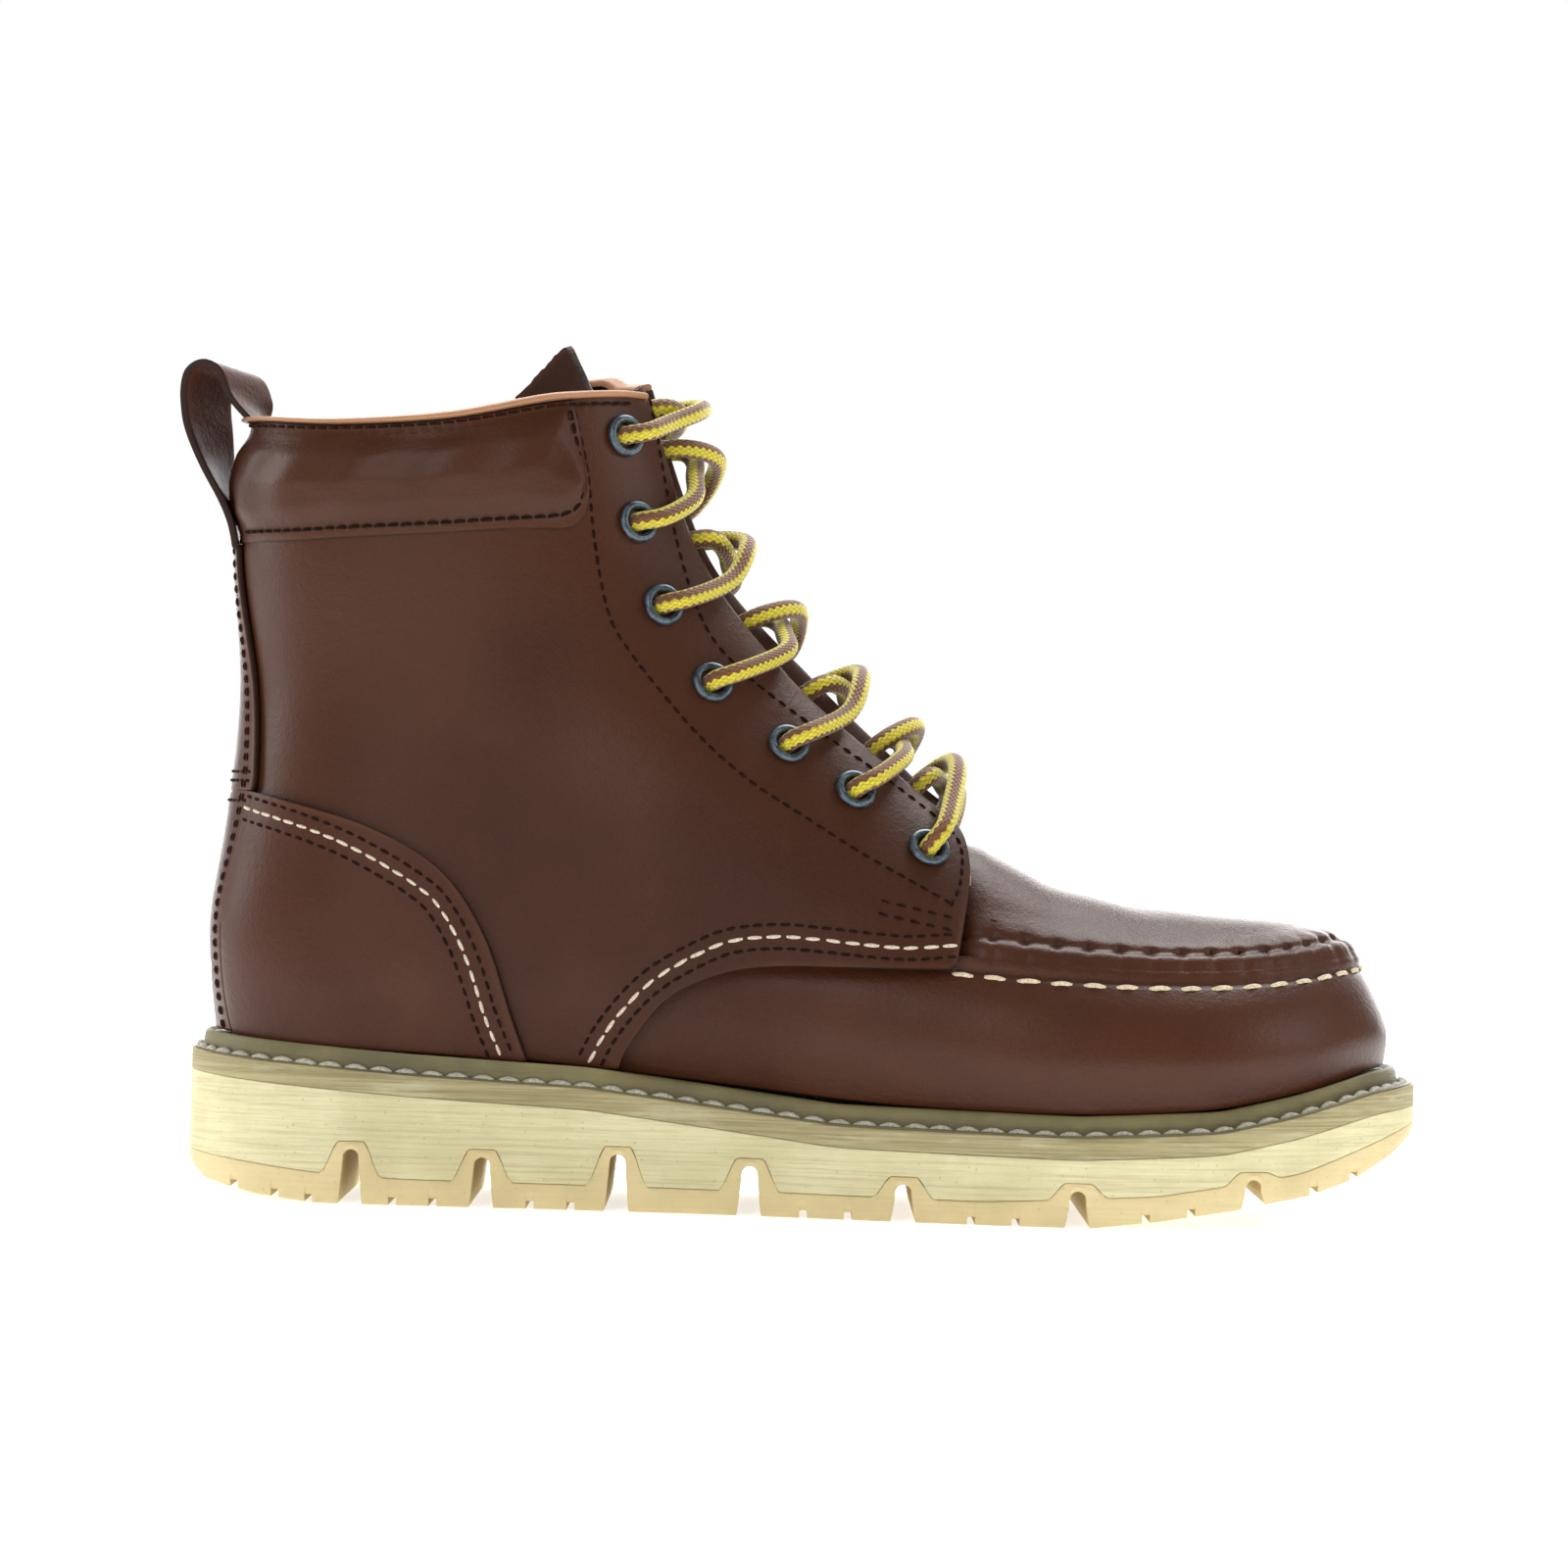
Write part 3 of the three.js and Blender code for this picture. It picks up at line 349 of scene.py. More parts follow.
class Finish:
    """A procedural material with its own small node tree."""

    def __init__(self, name, **constants):
        self.material = bpy.data.materials.new(name)
        self.material.use_nodes = True
        self.tree = self.material.node_tree
        self.shader = next(n for n in self.tree.nodes if n.type == "BSDF_PRINCIPLED")
        for socket, value in constants.items():
            self.shader.inputs[socket.replace("_", " ")].default_value = value
        self.place = self.node("ShaderNodeTexCoord", {}, [], "Object")

    def node(self, kind, settings, values, output=0):
        node = self.tree.nodes.new(kind)
        for key, value in settings.items():
            setattr(node, key, value)
        pairs = values.items() if isinstance(values, dict) else enumerate(values)
        for key, value in pairs:
            if isinstance(value, Socket):
                self.tree.links.new(value.link, node.inputs[key])
            else:
                node.inputs[key].default_value = value
        return Socket(self, node.outputs[output])

    def noise(self, scale, detail=3, roughness=0.55, at=None):
        values = {"Vector": at or self.place, "Scale": scale, "Detail": detail, "Roughness": roughness}
        return self.node("ShaderNodeTexNoise", {}, values)

    def cells(self, scale, feature="F1", at=None, randomness=1):
        values = {"Vector": at or self.place, "Scale": scale, "Randomness": randomness}
        return self.node("ShaderNodeTexVoronoi", {"feature": feature}, values, "Distance")

    def stretched(self, x, y, z, at=None):
        return self.node("ShaderNodeVectorMath", {"operation": "MULTIPLY"}, [at or self.place, (x, y, z)])

    def attribute(self, name, output="Fac"):
        return self.node("ShaderNodeAttribute", {"attribute_name": name}, [], output)

    def parts(self, vector):
        split = self.node("ShaderNodeSeparateXYZ", {}, [vector]).link.node
        return [Socket(self, out) for out in split.outputs]

    def mix(self, share, a, b, blend="MIX"):
        """A colour between two colours."""
        settings = {"data_type": "RGBA", "blend_type": blend}
        colours = [c if isinstance(c, Socket) else (*c, 1) for c in (a, b)]
        return self.node("ShaderNodeMix", settings, {0: share, 6: colours[0], 7: colours[1]}, 2)

    def set(self, name, socket):
        if isinstance(socket, Socket):
            self.tree.links.new(socket.link, self.shader.inputs[name])
        else:
            self.shader.inputs[name].default_value = socket

    def bump(self, height, depth, strength=1.0):
        """Raises the surface by height, a number from 0 to 1, times depth in millimetres."""
        values = {"Height": height, "Distance": depth * MM, "Strength": strength}
        self.set("Normal", self.node("ShaderNodeBump", {}, values, "Normal"))


def tone(code):
    """A linear colour from six hex digits of a screen colour."""
    parts = [int(code[i:i + 2], 16) / 255 for i in (0, 2, 4)]
    return tuple(p / 12.92 if p < 0.04045 else ((p + 0.055) / 1.055) ** 2.4 for p in parts)


EDGE_DYE = tone("1f110b")


def leather(name, deep, middle, light, roughness=0.42, wear=0.5):
    """Oiled leather: soft clouds of colour, a tight smooth grain, creases, and dyed, rubbed edges."""
    skin = Finish(name, Coat_Roughness=0.3, Specular_IOR_Level=0.17)
    clouds = skin.noise(17, 3, 0.5)
    grain = skin.cells(1500)
    pebbles = skin.cells(640, "SMOOTH_F1")
    pores = skin.noise(3200, 2, 0.6)
    creases = skin.noise(60, 5, 0.65, skin.stretched(1, 1, 2.6))
    colour = skin.mix(clouds.step(0.3, 0.68), deep, middle)
    pulled = skin.noise(48, 5, 0.62).step(0.56, 0.8) * (wear * 0.5)
    colour = skin.mix(pulled, colour, light)
    colour = skin.mix(grain.step(0.1, 0.75, 0.0, 0.14), colour, light)
    colour = skin.mix(pores.step(0.28, 0.5, 0.22, 0.0), colour, deep)
    edge = skin.attribute("edge")
    rubbed = edge.step(0.5, 2.6, 1, 0) * clouds.step(0.3, 0.6) * 0.5
    colour = skin.mix(rubbed, colour, light)
    colour = skin.mix(edge.step(0.05, 0.5, 0.85, 0), colour, EDGE_DYE)
    skin.set("Base Color", colour)
    skin.set("Roughness", clouds.step(0.3, 0.7, roughness + 0.05, roughness - 0.05) + pores * 0.06)
    skin.set("Coat Weight", clouds.step(0.35, 0.7, 0.02, 0.1))
    skin.bump(pebbles * 0.4 + grain * 0.3 + creases * 1.1 + pores * 0.12, 0.26, 0.6)
    return skin.material


def thread(name, dark, light, sheen=0.2):
    """Waxed thread, its strands in a darker and a lighter tone."""
    cord = Finish(name, Roughness=0.72, Sheen_Weight=sheen, Specular_IOR_Level=sheen)
    strands = cord.noise(1900, 3, 0.6)
    cord.set("Base Color", cord.mix(strands.step(0.3, 0.7), dark, light))
    cord.bump(strands, 0.12, 0.8)
    return cord.material


def moulded(name, deep, light, speck, roughness=0.7, grain=0.35, streaks=0.0, speckle=0.5):
    """Foamed or moulded rubber: faint level streaks, specks and a dusty face."""
    stuff = Finish(name)
    level = stuff.noise(1, 6, 0.75, stuff.stretched(26, 26, 1300))
    clouds = stuff.noise(34, 4, 0.6)
    specks = stuff.cells(430)
    colour = stuff.mix(clouds.step(0.3, 0.7), deep, light)
    colour = stuff.mix(level.step(0.42, 0.7) * streaks, colour, speck)
    colour = stuff.mix(specks.step(0.0, 0.16, speckle, 0), colour, speck)
    stuff.set("Base Color", colour)
    stuff.set("Roughness", clouds.step(0.3, 0.7, roughness - 0.08, roughness + 0.08))
    fine = stuff.noise(900, 3, 0.6)
    stuff.bump(level * 0.7 + fine * 0.5 + specks.step(0, 0.2) * 0.4, grain, 0.7)
    return stuff.material


def knitted(name, deep, light, scale=700, depth=0.3):
    """Brushed lining cloth, or the felt face of a footbed."""
    cloth = Finish(name, Roughness=0.92, Sheen_Weight=0.35, Sheen_Roughness=0.5)
    weave = cloth.cells(scale, "F1", None, 0.35)
    fuzz = cloth.noise(1500, 4, 0.7)
    clouds = cloth.noise(30, 3)
    colour = cloth.mix(clouds.step(0.3, 0.7), deep, light)
    colour = cloth.mix(weave.step(0.2, 0.8) * 0.5, colour, deep)
    cloth.set("Base Color", colour)
    cloth.bump(weave * 0.7 + fuzz * 0.5, depth, 0.9)
    return cloth.material


def fibre(name, deep, light, scale=220, depth=0.25, roughness=0.85):
    """Pressed board or cork: tumbled flakes."""
    board = Finish(name, Roughness=roughness)
    flakes = board.cells(scale)
    dust = board.noise(1400, 4, 0.7)
    board.set("Base Color", board.mix((flakes + dust * 0.5).step(0.2, 1.0), deep, light))
    board.bump(flakes + dust * 0.4, depth, 0.8)
    return board.material


def enamelled(name):
    """Dark blue-grey enamel on metal, rubbed bright in small patches."""
    paint = Finish(name, Metallic=0.75, Coat_Roughness=0.25, Coat_Weight=0.4)
    mottle = paint.noise(700, 4, 0.65)
    rubs = paint.noise(1300, 5, 0.7)
    colour = paint.mix(mottle.step(0.3, 0.7), tone("2c363e"), tone("55636c"))
    colour = paint.mix(rubs.step(0.62, 0.74) * 0.7, colour, tone("98a0a4"))
    paint.set("Base Color", colour)
    paint.set("Roughness", mottle.step(0.3, 0.7, 0.28, 0.44))
    paint.bump(mottle * 0.6 + rubs * 0.3, 0.05, 0.6)
    return paint.material


def brushed_steel(name):
    metal = Finish(name, Metallic=1)
    brush = metal.noise(1, 4, 0.7, metal.stretched(60, 1400, 1400))
    spots = metal.noise(160, 4, 0.6)
    metal.set("Base Color", metal.mix(spots.step(0.35, 0.65), tone("8d9093"), tone("b4b7b9")))
    metal.set("Roughness", brush.step(0.2, 0.8, 0.3, 0.5))
    metal.bump(brush, 0.03, 0.6)
    return metal.material


BAND_PAIRS = 3
ZIGZAG = 1.8


def braided(name):
    """The lace: bands of yellow and brown plaits along it, with zigzag borders."""
    rope = Finish(name, Roughness=0.7, Sheen_Weight=0.3, Sheen_Roughness=0.4)
    around, length, _ = rope.parts(rope.node("ShaderNodeUVMap", {"uv_map": "lace"}, []))
    run = length / ZIGZAG
    zigzag = run.math("PINGPONG", run, 0.5) * 2 - 0.5
    band = around * BAND_PAIRS + zigzag * 0.16
    stripe = band.math("PINGPONG", band, 0.5) * 2
    plait = (around * BAND_PAIRS * 4 + run * 1).math("PINGPONG", around * (BAND_PAIRS * 4) + run, 0.5) * 2
    cross = run.math("PINGPONG", run * 1 - around * (BAND_PAIRS * 4), 0.5) * 2
    fuzz = rope.noise(2400, 3, 0.7)
    yellow = rope.mix(fuzz.step(0.3, 0.7), tone("b8a51c"), tone("e6d936"))
    brown = rope.mix(fuzz.step(0.3, 0.7), tone("4c2811"), tone("84502a"))
    colour = rope.mix(stripe.step(0.44, 0.56), yellow, brown)
    shade = plait.math("MULTIPLY", plait, cross)
    colour = rope.mix(shade.step(0.0, 0.4, 0.35, 0), colour, tone("3a2a10"))
    rope.set("Base Color", colour)
    rope.bump(plait * 0.5 + cross * 0.5 + fuzz * 0.25, 0.3, 0.9)
    return rope.material


def wrapped(name):
    """Clear hard plastic over the end of the lace."""
    tip = Finish(name, Roughness=0.3, Coat_Weight=0.5)
    rings = tip.noise(600, 3, 0.6)
    tip.set("Base Color", tip.mix(rings.step(0.3, 0.7), tone("7a5a1c"), tone("b08d2c")))
    tip.bump(rings, 0.05, 0.6)
    return tip.material


def streaked(name, deep, light, pale):
    """The layered strip under the welt, with long grain like wood."""
    strip = Finish(name, Roughness=0.72)
    grain = strip.noise(1, 6, 0.7, strip.stretched(22, 22, 1500))
    clouds = strip.noise(1, 4, 0.65, strip.stretched(40, 40, 420))
    specks = strip.noise(1100, 4, 0.7)
    colour = strip.mix(grain.step(0.35, 0.65), deep, light)
    colour = strip.mix(clouds.step(0.5, 0.68) * 0.4, colour, pale)
    colour = strip.mix(specks.step(0.6, 0.72) * 0.4, colour, deep)
    strip.set("Base Color", colour)
    strip.bump(grain * 0.8 + specks * 0.5, 0.3, 0.8)
    return strip.material


BROWN = leather("oiled brown leather", tone("34190b"), tone("3f200f"), tone("53301d"), 0.4)
COUNTER_BROWN = leather("heel leather", tone("361a0d"), tone("422213"), tone("58331f"), 0.42)
TOE_BROWN = leather("toe leather", tone("381c0e"), tone("442414"), tone("5a3522"), 0.34)
TONGUE_BROWN = leather("tongue leather", tone("331a0f"), tone("3f2317"), tone("583826"), 0.6)
STRAP_BROWN = leather("loop leather", tone("3f2118"), tone("4c2a1f"), tone("684233"), 0.36)
TAN = leather("tan binding", tone("8a5f42"), tone("a87a59"), tone("c49a78"), 0.5, 0.4)
LINING_CLOTH = knitted("lining cloth", tone("6d5140"), tone("92725a"))
FELT = knitted("footbed felt", tone("343331"), tone("5c5a56"), 900)
WHITE_THREAD = thread("cream thread", tone("b8a48e"), tone("ddcfbe"))
BROWN_THREAD = thread("brown thread", tone("170a06"), tone("2c170e"), 0.03)
MOC_THREAD = thread("moc thread", tone("b8a283"), tone("e2d3b8"))
WELT_THREAD = thread("welt thread", tone("8f8b7c"), tone("bcb8aa"))
STEEL_PLATE = brushed_steel("pressed steel")
ENAMEL = enamelled("blue-grey enamel")
ROPE = braided("braided lace")
LACE_TIP = wrapped("lace tip")
BOARD = fibre("fibreboard", tone("8b7250"), tone("b79d76"))
CORK = fibre("granulated cork", tone("6f4d2b"), tone("b68b58"), 300, 0.5)
WELT_RUBBER = moulded("welt rubber", tone("564f2d"), tone("776d44"), tone("423d20"), 0.55, 0.2, 0.3, 0.15)
SLIP_STRIP = streaked("slip sole strip", tone("857b53"), tone("a89d75"), tone("c6bf9f"))
MIDSOLE_FOAM = moulded("midsole foam", tone("c9c196"), tone("dbd4ac"), tone("a9a077"), 0.85, 0.5, 0.6, 0.5)
OUTSOLE_RUBBER = moulded(
    "outsole rubber", tone("c9b785"), tone("dcca99"), tone("a8966a"), 0.6, 0.3, 0.15, 0.4,
)


# ---------------------------------------------------------------- meshes
def grid_faces(rows, columns, start=0):
    index = start + np.arange(rows * columns).reshape(rows, columns)
    return np.stack([index[:-1, :-1], index[1:, :-1], index[1:, 1:], index[:-1, 1:]], -1).reshape(-1, 4)


def made(name, points, faces, finish, edge=None, bevel=0.0, weld=0.0, smooth_angle=50):
    """A closed body from points in drawn millimetres, its faces turned outwards."""
    mesh = bpy.data.meshes.new(name)
    mesh.from_pydata(((points + SHIFT) * MM).tolist(), [], [list(map(int, f)) for f in faces])
    if edge is not None:
        depth = mesh.attributes.new("edge", "FLOAT", "POINT")
        depth.data.foreach_set("value", np.asarray(edge, float).ravel())
    body = bmesh.new()
    body.from_mesh(mesh)
    if weld:
        bmesh.ops.remove_doubles(body, verts=body.verts, dist=weld * MM)
        bmesh.ops.dissolve_degenerate(body, edges=body.edges, dist=weld * MM / 4)
    bmesh.ops.recalc_face_normals(body, faces=body.faces)
    body.to_mesh(mesh)
    body.free()
    mesh.materials.append(finish)
    obj = bpy.data.objects.new(name, mesh)
    bpy.context.scene.collection.objects.link(obj)
    if bevel:
        rounding = obj.modifiers.new("rounded rim", "BEVEL")
        rounding.width = bevel * MM
        rounding.segments = 2
        rounding.limit_method = "ANGLE"
        rounding.angle_limit = math.radians(55)
        plain(obj)
    obj.data.shade_smooth()
    obj.data.set_sharp_from_angle(angle=math.radians(smooth_angle))
    return obj


def plain(obj):
    """Puts the result of the modifiers into the mesh."""
    graph = bpy.context.evaluated_depsgraph_get()
    mesh = bpy.data.meshes.new_from_object(obj.evaluated_get(graph))
    obj.modifiers.clear()
    obj.data = mesh


def joined(piece, body, slot, *nodes):
    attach(piece, body)
    if nodes:
        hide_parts(*nodes)
    return piece


def border_distance(points):
    """How far each point of a grid is from the grid's border, along its lines."""
    nearest = []
    for axis in (0, 1):
        steps = np.linalg.norm(np.diff(points, axis=axis), axis=-1)
        run = np.cumsum(steps, axis)
        run = np.concatenate([np.zeros_like(run.take([0], axis)), run], axis)
        nearest.append(np.minimum(run, run.take([-1], axis) - run))
    return np.minimum(*nearest)


def sheet(name, outer, inner, finish, bevel=0.45, weld=0.0, edge=None):
    """A sheet of leather or cloth between two grids of points."""
    rows, columns = outer.shape[:2]
    count = rows * columns
    points = np.concatenate([outer.reshape(-1, 3), inner.reshape(-1, 3)])
    top = grid_faces(rows, columns)
    index = np.arange(count).reshape(rows, columns)
    rim = np.concatenate([index[:, 0], index[-1, 1:], index[-2::-1, -1], index[0, -2:0:-1]])
    after = np.roll(rim, -1)
    sides = np.stack([rim, after, after + count, rim + count], -1)
    faces = np.concatenate([top, grid_faces(rows, columns, count)[:, ::-1], sides[:, ::-1]])
    depth = border_distance(outer) if edge is None else edge
    return made(name, points, faces, finish, np.concatenate([depth.ravel()] * 2), bevel, weld)


def lofted(name, rings, finish, edge=None, weld=0.02, closed_ends=True, smooth_angle=40, bevel=0.0):
    """A body through rings of points, all of the same count."""
    rings = np.asarray(rings)
    count, around = rings.shape[:2]
    index = np.arange(count * around).reshape(count, around)
    after = np.roll(index, -1, 1)
    faces = np.stack([index[:-1], after[:-1], after[1:], index[1:]], -1).reshape(-1, 4).tolist()
    if closed_ends:
        faces += [index[0][::-1].tolist(), index[-1].tolist()]
    else:
        faces += np.stack([index[-1], after[-1], after[0], index[0]], -1).tolist()
    return made(name, rings.reshape(-1, 3), faces, finish, edge, bevel, weld, smooth_angle)


def far_lift(s, h):
    """The inner facing stands a little higher at its top front corner than the outer one."""
    return 6.4 * smooth(-s, 4.0, 4.5) * (1 - 0.35 * smooth(-s, 4.8, 5.2)) * smooth(h, 5.0, 6)


def leg_sheet(name, at, side, top, thickness, finish, **more):
    s, h = side * at[..., 0], at[..., 1]
    top = np.broadcast_to(top, s.shape)
    outer, inner = pushed(leg, s, h, top), pushed(leg, s, h, top - thickness)
    for face in (outer, inner):
        face[..., 2] += far_lift(s, h)
    return sheet(name, outer, inner, finish, **more)


# ---------------------------------------------------------------- outlines on the upper
LEATHER, COVER, LINING, GAP = 2, 1.6, 1, 0.3
STIFFENER = 1.4
LINING_TOP = -(LEATHER + GAP + STIFFENER + GAP)
LINING_UNDER = LINING_TOP - LINING
COVER_TOP = GAP + COVER
PUFF = 2.2
SIDES = (("lateral", LATERAL), ("medial", MEDIAL))
FACING = np.array([
    (60, 30), (86, 26.5), (92, 24), (103, 20), (125, 17.5), (140, 15.5), (160, 14.5), (230, 14),
])
TAB_EDGE = [(-45.5, 33), (-42.6, 40), (-33.7, 51.5), (-21, 57.9), (-8, 60.2), (12, 60.5), (35.7, 60.7)]
TAB_FRONT = [(35.7, 60.7), (37.7, 73.4), (39, 82)]
COUNTER_EDGE = [(-67, 36), (-71, 47), (-78, 66), (-89, 81), (-107, 91), (-128, 97), (-141, 99.6)]
BACKSTAY = np.array([(20, 20), (45, 17.5), (70, 17), (96, 19.5), (102, 19.5), (159.5, 8.5), (230, 8.5)])
COLLAR_SEAM = [(-139, 159.8), (-128, 160), (-113, 161), (-92, 162.4), (-74, 164)]


def facing_s(h):
    """Where the facing ends at a level of the leg."""
    h = np.atleast_1d(np.asarray(h, float))
    low, high = np.full(h.shape, 4.4), np.full(h.shape, float(FRONT))
    for _ in range(24):
        middle = (low + high) / 2
        p = leg(middle, h)
        outside = np.abs(p[:, 1]) > np.interp(p[:, 2], FACING[:, 0], FACING[:, 1])
        low, high = np.where(outside, middle, low), np.where(outside, high, middle)
    return low


def side_line(points, side, count=80, reach=(0, FRONT)):
    """A line drawn from the side, as evenly spaced (s, h) of the leg."""
    line = rounded(points)
    return even_on(leg, located(SIDE_VIEW, line[:, 0], line[:, 1], side, reach), count, side)


def back_line(low, high, side, grow=0.0, count=60):
    """The edge of the strip up the back between two heights, as (s, h) of the leg."""
    z = np.linspace(low, high, count)
    half = np.interp(z, BACKSTAY[:, 0], BACKSTAY[:, 1]) + grow
    return located(BACK_VIEW, -side * half, z, side, (0, 2.4))


def level_line(s_from, s_to, h, count=80):
    return np.stack([np.linspace(s_from, s_to, count), np.full(count, float(h))], -1)


def facing_line(low, high, count=80):
    h = np.linspace(low, high, count)
    return np.stack([facing_s(h), h], -1)


def softened(line, rounds=30):
    """A line with its corners rounded, its ends kept."""
    line = line.copy()
    for _ in range(rounds):
        line[1:-1] = (line[:-2] + 2 * line[1:-1] + line[2:]) / 4
    return line


# ---------------------------------------------------------------- the upper
QUARTER_GRID = (110, 110)
FACING_FOOT = 2.35


def build_quarters():
    for name, side in SIDES:
        tab = side_line(TAB_EDGE, side, 90)
        tab[0, 1] = 0
        foot = np.concatenate([level_line(0.12, tab[0, 0], 0), tab[1:]])
        bottom = even_on(leg, foot, QUARTER_GRID[0], side)
        front = side_line(TAB_FRONT, side, 40)
        front = np.concatenate([front, facing_line(FACING_FOOT, TOP, 120)])
        front = softened(even_on(leg, front, QUARTER_GRID[1], side), 12)
        front[0] = bottom[-1]
        top = level_line(0.12, front[-1, 0], TOP, QUARTER_GRID[0])
        heel = np.stack([np.full(QUARTER_GRID[1], 0.12), np.linspace(0, TOP, QUARTER_GRID[1])], -1)
        at = coons(bottom, top, heel, front, QUARTER_GRID)
        joined(leg_sheet(f"quarter_{name}_leather", at, side, 0, LEATHER, BROWN), "boot", "leather",
               f"quarter_{name}")


def build_counters():
    for name, side in SIDES:
        edge = side_line(COUNTER_EDGE, side, 140)
        edge[0, 1] = 0
        rear = back_line(38.6, 97.2, side, GAP, 70)
        rear[0, 1] = 0
        bottom = level_line(rear[0, 0], edge[0, 0], 0, 70)
        split = 70
        right, top = edge[:split], edge[split - 1:][::-1]
        top[0] = rear[-1]
        at = coons(bottom, even_on(leg, top, 70, side), rear, even_on(leg, right, 70, side), (70, 70))
        joined(leg_sheet(f"counter_{name}_leather", at, side, COVER_TOP, COVER, COUNTER_BROWN), "boot",
               "leather", f"counter_{name}")


def strip_grid(low, high, rows, columns):
    """A strip across the middle of the heel between two heights, as signed (s, h)."""
    outer, inner = back_line(low, high, LATERAL, 0, columns), back_line(low, high, MEDIAL, 0, columns)
    share = np.linspace(0, 1, rows)[:, None]
    s = outer[None, :, 0] * (1 - share) - inner[None, :, 0] * share
    h = outer[None, :, 1] * (1 - share) + inner[None, :, 1] * share
    return np.stack([s, h], -1)


def build_backstays():
    for name, low, high in (("backstay_lower", 40.2, 98.5), ("backstay_upper", 98.8, 159.5)):
        at = strip_grid(low, high, 40, 70)
        joined(leg_sheet(f"{name}_leather", at, 1, COVER_TOP, COVER, COUNTER_BROWN), "boot", "leather", name)


COLLAR_FRONT = 4.28
COLLAR_GRID = (240, 46)
COLLAR_CROWN = 1.4


def build_collar():
    """The padded collar: one panel right round the back, pulled in at its seams and full between them."""
    rows, columns = COLLAR_GRID
    seam = {side: side_line(COLLAR_SEAM, side, 100) for _, side in SIDES}
    s = np.linspace(-COLLAR_FRONT, COLLAR_FRONT, rows)
    low = np.where(
        s > 0,
        np.interp(np.abs(s), seam[LATERAL][:, 0], seam[LATERAL][:, 1]),
        np.interp(np.abs(s), seam[MEDIAL][:, 0], seam[MEDIAL][:, 1]),
    )
    corner = np.clip((np.abs(s) - (COLLAR_FRONT - 0.42)) / 0.42, 0, 1)
    low = low + 0.42 * (1 - np.sqrt(1 - corner ** 2))
    share = np.linspace(0, 1, columns)[None, :]
    h = low[:, None] + (TOP - 0.02 - low[:, None]) * share
    s = np.repeat(s[:, None], columns, 1)
    flat_face = pushed(leg, s, h, np.full(s.shape, 1.0))
    inward = border_distance(flat_face)
    puff = 0.5 + PUFF * smooth(inward, 1.2, 8.5) + COLLAR_CROWN * smooth(inward, 4, 16)
    wrinkles = 0.35 * np.sin(s * 9 + 1.3 * np.sin(h * 5)) * smooth(inward, 2, 10)
    outer = pushed(leg, s, h, puff + wrinkles)
    inner = pushed(leg, s, h, np.full(s.shape, LINING_TOP + GAP))
    collar = sheet("padded_collar", outer, inner, BROWN, 0.5)
    joined(collar, "boot", "leather", "collar_cover", "collar_foam")


def build_binding():
    """The tan strip folded over the top edge, all the way round from facing to facing."""
    ends = [facing_s(TOP)[0] - 0.12] * 2
    s = np.linspace(-ends[1], ends[0], 220)
    padded = PUFF * (1 - smooth(np.abs(s), 3.9, 4.5))
    outside, inside = padded + 0.75, LINING_UNDER - 0.1
    middle, half = (outside + inside) / 2, (outside - inside) / 2
    turn = np.linspace(0, 2 * math.pi, 28, endpoint=False)
    wave = np.cos(turn)
    across = np.sign(wave) * np.abs(wave) ** 0.6
    rise = np.where(np.sin(turn) > 0, 1.5 * np.abs(np.sin(turn)) ** 0.75, -0.5 * np.abs(np.sin(turn)) ** 0.5)
    plump = mix(0.6, 1, smooth(np.abs(s), 1.2, 4))[:, None]
    out = normals(leg, s, np.full(s.shape, float(TOP)))
    base = leg(s, np.full(s.shape, float(TOP)))
    rings = base[:, None] + out[:, None] * (middle[:, None] + half[:, None] * across)[..., None]
    rings[..., 2] += rise * plump + 0.1 + far_lift(s, np.full(s.shape, 6.0))[:, None]
    edge = np.full(rings.shape[:2], 5.0)
    joined(lofted("tan_binding", rings, TAN, edge), "boot", "binding", "collar_binding")


WALL_GRID = (360, 46)
MOC_PITCH = 7.9
ROLL = 1.3
RIM = 1.5


def seam_phase(a):
    """How many moc stitches there are along the toe seam up to each place on it."""
    t = np.linspace(0, 2 * TIP, 1200)
    p = vamp(t, np.full(t.shape, float(SEAM)))
    run = np.concatenate([[0], np.cumsum(np.linalg.norm(np.diff(p, axis=0), axis=1))])
    middle = np.interp(TIP, t, run)
    return (np.interp(a, t, run) - middle) / MOC_PITCH


def even_seam(start, end, count):
    """Places along the toe seam that are evenly spaced, from start to end."""
    t = np.linspace(start, end, 1200)
    p = vamp(t, np.full(t.shape, float(SEAM)))
    run = np.concatenate([[0], np.cumsum(np.linalg.norm(np.diff(p, axis=0), axis=1))])
    return np.interp(np.linspace(0, run[-1], count), run, t)


def pinch(a):
    """1 where a moc stitch pulls the leather in, 0 midway between two stitches."""
    return (0.5 + 0.5 * np.cos(2 * math.pi * seam_phase(a))) ** 3


def rolled(a, above):
    """How far the rolled seam stands out, at a distance above the seam line in millimetres."""
    bulge = ROLL * smooth(above, -3.2, -0.6) * (1 - smooth(above, 1.4, 4.6))
    tight = pinch(a)
    dimple = (0.35 + 1.0 * tight) * np.exp(-((above - 5.0) / (0.9 + 0.5 * tight)) ** 2)
    groove = (0.3 + 0.25 * tight) * np.exp(-((above + 3.4) / 0.8) ** 2)
    return bulge * (1 - 0.22 * tight) - dimple - groove


def grid_normals(points):
    along = np.gradient(points, axis=0)
    up = np.gradient(points, axis=1)
    return unit(np.cross(along, up))


